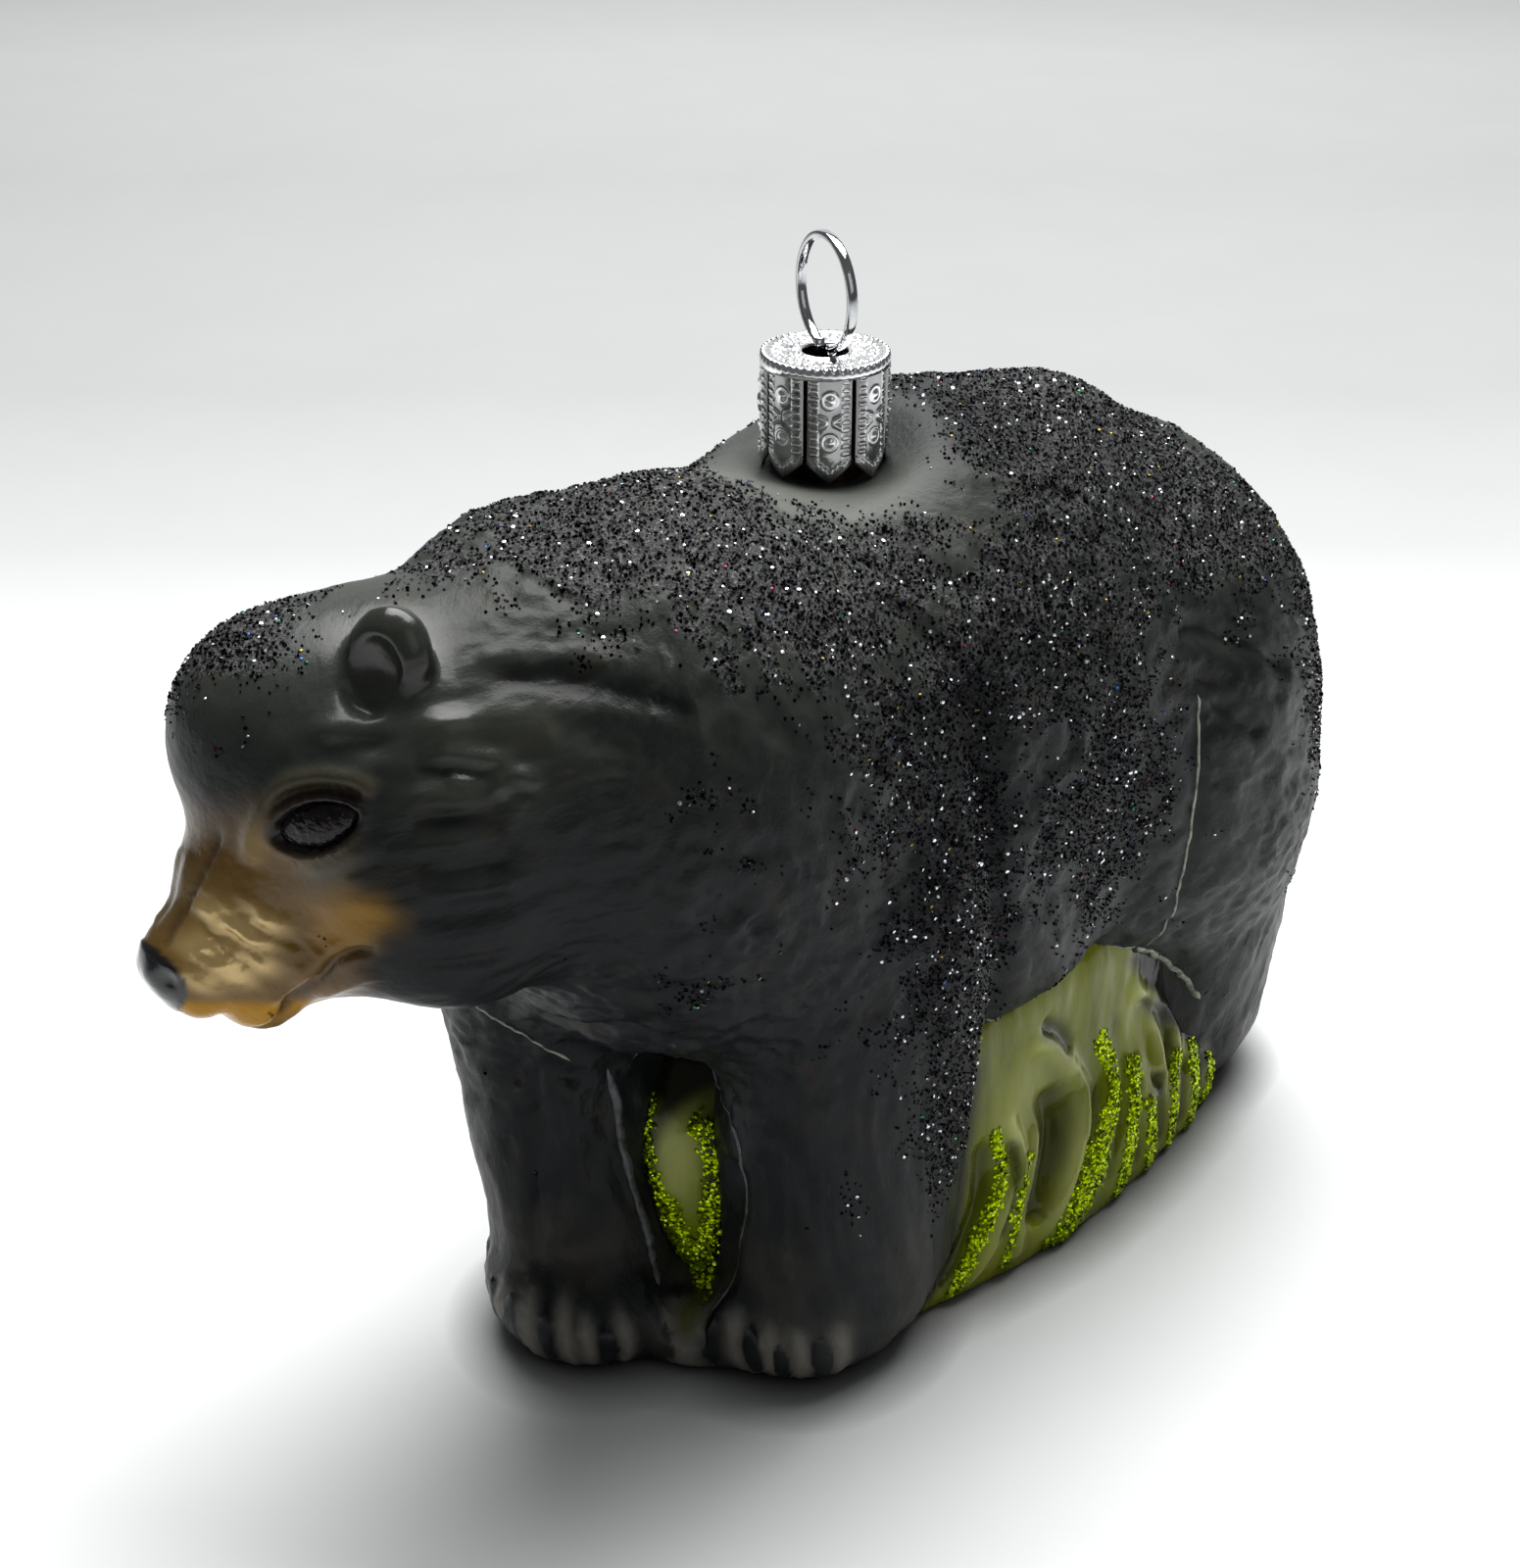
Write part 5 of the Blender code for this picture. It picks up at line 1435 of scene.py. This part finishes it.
def plate(outer, inner):
    """Closes two grids of one shape into a sheet: both faces and the four edges between them."""
    rows, columns = outer.shape[:2]
    front = grid_faces(rows, columns)
    top, right = np.arange(columns), np.arange(1, rows) * columns + columns - 1
    bottom, left = (rows - 1) * columns + np.arange(columns - 2, -1, -1), np.arange(rows - 2, 0, -1) * columns
    edge = np.concatenate([top, right, bottom, left])
    after = np.roll(edge, -1)
    size = rows * columns
    wall = np.stack([edge, after, after + size, edge + size], -1)
    places = np.concatenate([outer.reshape(-1, 3), inner.reshape(-1, 3)])
    return places, np.concatenate([front, front[:, ::-1] + size, wall])


def flap(number):
    """A flap: columns across an arc of 45 degrees less the slit, rows from the shoulder down to a point."""
    share = np.linspace(-1, 1, 49)[None]
    half = math.pi / 8 - 0.17 / CAP_RADIUS
    angle = number * math.pi / 4 + share * half
    foot = FLAP_FOOT + FLAP_TIP * np.abs(share) + 0.12 * np.abs(share) ** 2
    down = np.linspace(0, 1, 93)[:, None]
    z = SHOULDER + (foot - SHOULDER) * down
    x = share * half * CAP_RADIUS + 0 * z
    curl = 0.10 * ramp(z, FLAP_FOOT + 2.5, FLAP_FOOT)
    radius = CAP_RADIUS - 0.16 - 0.14 * np.abs(share) ** 6 + 0 * z - curl + 0.62 * flap_relief(x, z)
    radius = radius - 0.1 * ramp(1 - down, 0.03, 0)

    def round_axis(r):
        return np.stack([r * np.cos(angle + 0 * z), r * np.sin(angle + 0 * z), z], -1)

    return plate(round_axis(radius), round_axis(0 * radius + CAP_RADIUS - SHEET - 0.22))


def cap_top():
    """The top: a profile from the lip of the hole, out over the face, round the shoulder and back inside,
    turned about the axis. A ring of notches and a stipple are pressed into the face, and studs stand
    round the shoulder."""
    outer = [(1.9, -0.45), (1.86, -0.2), (1.92, -0.04), (2.1, 0.0)]
    outer += [(r, 0.0) for r in np.linspace(2.25, 4.72, 40)]
    outer += [(4.72 + 0.6 * math.sin(a), -0.6 + 0.6 * math.cos(a)) for a in np.linspace(0.1, math.pi / 2, 12)]
    outer += [(5.32, -0.95), (5.1, -1.0), (4.95, -0.6), (4.4, -0.35), (2.2, -0.3)]
    outer = np.array(outer)
    angle = round_angles(288)[None]
    radius, z = outer[:, :1] + 0 * angle, CAP_TOP + outer[:, 1:] + 0 * angle
    flat = (outer[:, 1:] == 0) * 1.0
    flat[:4] = 0
    spots = np.stack([radius * np.cos(angle), radius * np.sin(angle), z], -1)
    stipple = noise(spots.reshape(-1, 3) * [3.6, 3.6, 0], 81).reshape(radius.shape)
    notch = np.exp(-(((radius - 4.25) / 0.13) ** 2)) * ramp(np.cos(angle * 36), 0.1, 0.7)
    bead = np.exp(-(((radius - 4.6) / 0.14) ** 2)) * (0.5 + 0.5 * np.cos(angle * 36))
    sag = -0.12 * ramp(radius, 4.2, 2.2)
    studs = np.exp(-(((radius - 5.12) / 0.16) ** 2)) * (z > CAP_TOP - 0.7)
    studs = studs * ramp(np.cos(angle * 48), -0.2, 0.8)
    spots += studs[..., None] * [0.0, 0.0, 0.2]
    spots[..., :2] *= 1 + 0.014 * studs[..., None]
    pressed = 0.09 * stipple * ramp(4.2 - radius, 0, 0.2) - 0.16 * notch + 0.05 * bead + sag - 0.07
    spots[..., 2] += flat * pressed
    faces = grid_faces(len(outer), 288, wrap=True)
    last = (len(outer) - 1) * 288
    column = np.arange(288)
    closing = np.stack([last + column, last + (column + 1) % 288, (column + 1) % 288, column], -1)
    return spots.reshape(-1, 3), np.concatenate([faces, closing])


def silvered_tinplate():
    made, tree, surface = finish("silvered_tinplate", Metallic=1.0)
    tarnish = steps(tree, speckle(tree, 2.2, 4, 0.6), (0.35, 0), (0.7, 1))
    place = add(tree, "TexCoord").outputs["Object"]
    shoulder = (AXIS[0], AXIS[1], SHOULDER * MM)
    from_axis = add(tree, "VectorMath", {"operation": "SUBTRACT", 1: shoulder}, at0=place)
    flat = add(tree, "VectorMath", {"operation": "MULTIPLY", 1: (1, 1, 0)}, at0=from_axis.outputs[0])
    radius = add(tree, "VectorMath", {"operation": "LENGTH"}, at0=flat.outputs[0]).outputs["Value"]
    height = add(tree, "SeparateXYZ", Vector=from_axis.outputs[0]).outputs["Z"]
    # Painted reflection: the relief standing out and the top are bright silver and the rest a darker grey, as
    # the sides would mirror the dark body below.
    raised = add(tree, "MapRange", {"From Min": 5.22 * MM, "From Max": 5.32 * MM}, Value=radius)
    top = add(tree, "MapRange", {"From Min": -0.2 * MM, "From Max": 0.1 * MM}, Value=height)
    bright = add(tree, "Math", {"operation": "MAXIMUM"}, at0=raised.outputs[0], at1=top.outputs[0]).outputs[0]
    worn = blend_colour(tree, tarnish, "#d2d4d6", "#f0f1f1")
    wire(tree, surface, blend_colour(tree, bright, "#838281", worn),
         blend_colour(tree, tarnish, "#777777", "#5a5a5a"), speckle(tree, 0.3, 3, 0.6), 0.3, 0.04)
    return made


tinplate = silvered_tinplate()
cap = make_object("stamped_cap", joined("stamped_cap", [cap_top()] + [flap(n) for n in range(8)]), tinplate)
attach(cap, "root")
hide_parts("crown_cap")
print("cap", 2 * len(cap.data.polygons), "triangles")

# %% [markdown]
# ## The hanging ring
# A spring ring of flattened steel wire. Its two ends go down through the hole and spread inside the
# neck. It is one flat oval carried along the ring's curve, with fine drawing lines along the wire.

# %% Ring
RING_RADIUS, RING_TURN = 4.55, math.radians(157)
RING_MIDDLE = CAP_TOP + 0.2 + RING_RADIUS


def ring_mesh():
    """An oval 0.88 by 0.62 mm, with flattened faces, along an arc whose ends drop through the hole."""
    gap = math.radians(13)
    arc = np.linspace(-math.pi / 2 + gap, 1.5 * math.pi - gap, 150)
    line = [(RING_RADIUS * math.cos(a), RING_MIDDLE + RING_RADIUS * math.sin(a)) for a in arc]
    drop = [(1.05, CAP_TOP - 2.2), (1.5, CAP_TOP - 4.4)]
    line = [(x, z) for x, z in reversed(drop)] + line + [(-x, z) for x, z in drop]
    smooth = curve_through(line, 3)
    onward = np.gradient(smooth, axis=0)
    onward /= np.linalg.norm(onward, axis=1, keepdims=True)
    across = np.column_stack([-onward[:, 1], onward[:, 0]])
    oval_in = 0.31 * signed_power(np.cos(round_angles(20)), 0.7)
    oval_out = 0.44 * signed_power(np.sin(round_angles(20)), 0.7)
    size = np.ones(len(smooth))
    size[[0, -1]] = 0.0
    flat = smooth[:, None] + (size[:, None] * oval_in)[..., None] * across[:, None]
    out = size[:, None] * oval_out + 0 * flat[..., 0]
    width = np.array([math.cos(RING_TURN), math.sin(RING_TURN)])
    facing = np.array([-math.sin(RING_TURN), math.cos(RING_TURN)])
    x = flat[..., 0] * width[0] + out * facing[0]
    y = flat[..., 0] * width[1] + out * facing[1]
    places = np.stack([x, y, flat[..., 1]], -1).reshape(-1, 3)
    return weld(make_mesh("ring", to_frame(places), grid_faces(len(smooth), 20, wrap=True)))


def drawn_steel():
    made, tree, surface = finish("drawn_steel_wire", Metallic=1.0)
    lines = steps(tree, speckle(tree, 1.2, 4, 0.6, stretch=(1, 1, 0.4)), (0.35, 0), (0.65, 1))
    wire(tree, surface, blend_colour(tree, lines, "#a9abad", "#cfd1d2"),
         blend_colour(tree, lines, "#585858", "#3a3a3a"), speckle(tree, 0.25, 2, 0.5), 0.2, 0.03)
    return made


ring = make_object("wire_ring", ring_mesh(), drawn_steel())
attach(ring, "root")
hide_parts("hanging_ring")
print("ring", 2 * len(ring.data.polygons), "triangles")

# %% [markdown]
# ## The glass neck
# Under the cap the shell ends in a short open neck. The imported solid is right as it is. Inside, the
# silver has oxidised, so what shows down the hole is a dark red-brown.

# %% Neck
def oxidised_glass():
    made, tree, surface = finish("oxidised_silvered_glass", IOR=1.5, Metallic=0.3)
    stain = steps(tree, speckle(tree, 1.5, 3, 0.6), (0.35, 0), (0.65, 1))
    wire(tree, surface, blend_colour(tree, stain, "#1c0d08", "#4a2a1c"),
         blend_colour(tree, stain, "#404040", "#606060"))
    return made


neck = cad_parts["glass_neck"]
neck.data.materials.clear()
neck.data.materials.append(oxidised_glass())
print("glass neck finished")

# %% [markdown]
# ## Floor, light and camera
# The ornament stands on a white sweep in a light tent: one wide soft light overhead and a little
# behind, so tops are bright and fronts are dark, with weak fill from the pale surroundings.

# %% Stage
def sweep_paper():
    """White paper with painted light: it is painted greyer further behind, standing in for the light falling
    off, and a painted contact shadow darkens it where the ornament touches it.
    """
    made, tree, surface = finish("white_sweep_paper", Roughness=0.7)
    place = add(tree, "TexCoord").outputs["Object"]
    away = (-0.665, 0.747, 0.0)
    # Painted light fall-off: the paper's colour greys with distance behind the ornament.
    far = add(tree, "VectorMath", {"operation": "DOT_PRODUCT", 1: away}, at0=place)
    fall = add(tree, "MapRange", {"From Min": 0.05, "From Max": 0.55}, Value=far.outputs["Value"])
    greys = ((0, 0.96), (0.08, 0.9), (0.13, 0.72), (0.23, 0.53), (0.38, 0.43), (0.7, 0.42), (1, 0.50))
    grey = steps(tree, fall.outputs["Result"], *greys)
    fibre = steps(tree, speckle(tree, 30, 3, 0.6), (0.3, 0.0), (0.7, 1.0))
    paper = blend_colour(tree, fibre, "#f9fbfb", "#fcfdfd")
    paper = blend_colour(tree, grey, "#000000", paper)
    # Painted contact shadow: ambient occlusion darkens the paper's colour next to the ornament.
    touch = add(tree, "AmbientOcclusion", {"samples": 8, "Distance": 0.0055})
    dark = add(tree, "Math", {"operation": "POWER", 1: 1.7}, at0=touch.outputs["AO"])
    wire(tree, surface, blend_colour(tree, dark.outputs[0], "#0c0d0a", paper))
    return made


floor_corners = np.array([(-6, -6, 0), (6, -6, 0), (6, 6, 0), (-6, 6, 0)], float)
floor = make_object("floor", make_mesh("floor", floor_corners, np.array([[0, 1, 2, 3]])), sweep_paper())


def area_light(name, place, aim, size, power):
    """A white soft box: its place, what it points at, its two sides in metres and its power in watts."""
    lamp = bpy.data.lights.new(name, "AREA")
    lamp.shape, lamp.size, lamp.size_y, lamp.energy = "RECTANGLE", size[0], size[1], power
    made = in_scene(name, lamp)
    made.location = place
    made.rotation_euler = (Vector(aim) - Vector(place)).to_track_quat("-Z", "Y").to_euler()
    return made


area_light("overhead", (-0.14, 0.26, 0.74), (0, 0, 0.04), (0.75, 0.55), 11.4)
area_light("back_card", (-0.66, 0.74, 0.36), (0, 0, 0.10), (0.9, 0.6), 1.3)
area_light("side_fill", (0.7, -0.1, 0.45), (0, 0, 0.04), (0.4, 0.5), 0.36)

world = bpy.data.worlds.new("pale_room")
bpy.context.scene.world = world
world.use_nodes = True
background = world.node_tree.nodes["Background"].inputs
background["Color"].default_value = hex_colour("#e8ebee")
background["Strength"].default_value = 0.15
bpy.context.scene.view_settings.view_transform = "Standard"

lens = bpy.data.cameras.new("camera")
lens.lens, lens.sensor_width, lens.clip_start, lens.clip_end = 54, 36, 0.01, 20
camera = in_scene("camera", lens)
# Another script worked out the camera's place, angles and lens.
camera.location = to_frame((118.0, -140.3, 145.5))
camera.rotation_euler = (math.radians(90 - 28.46), 0, math.radians(41.71))
bpy.context.scene.camera = camera
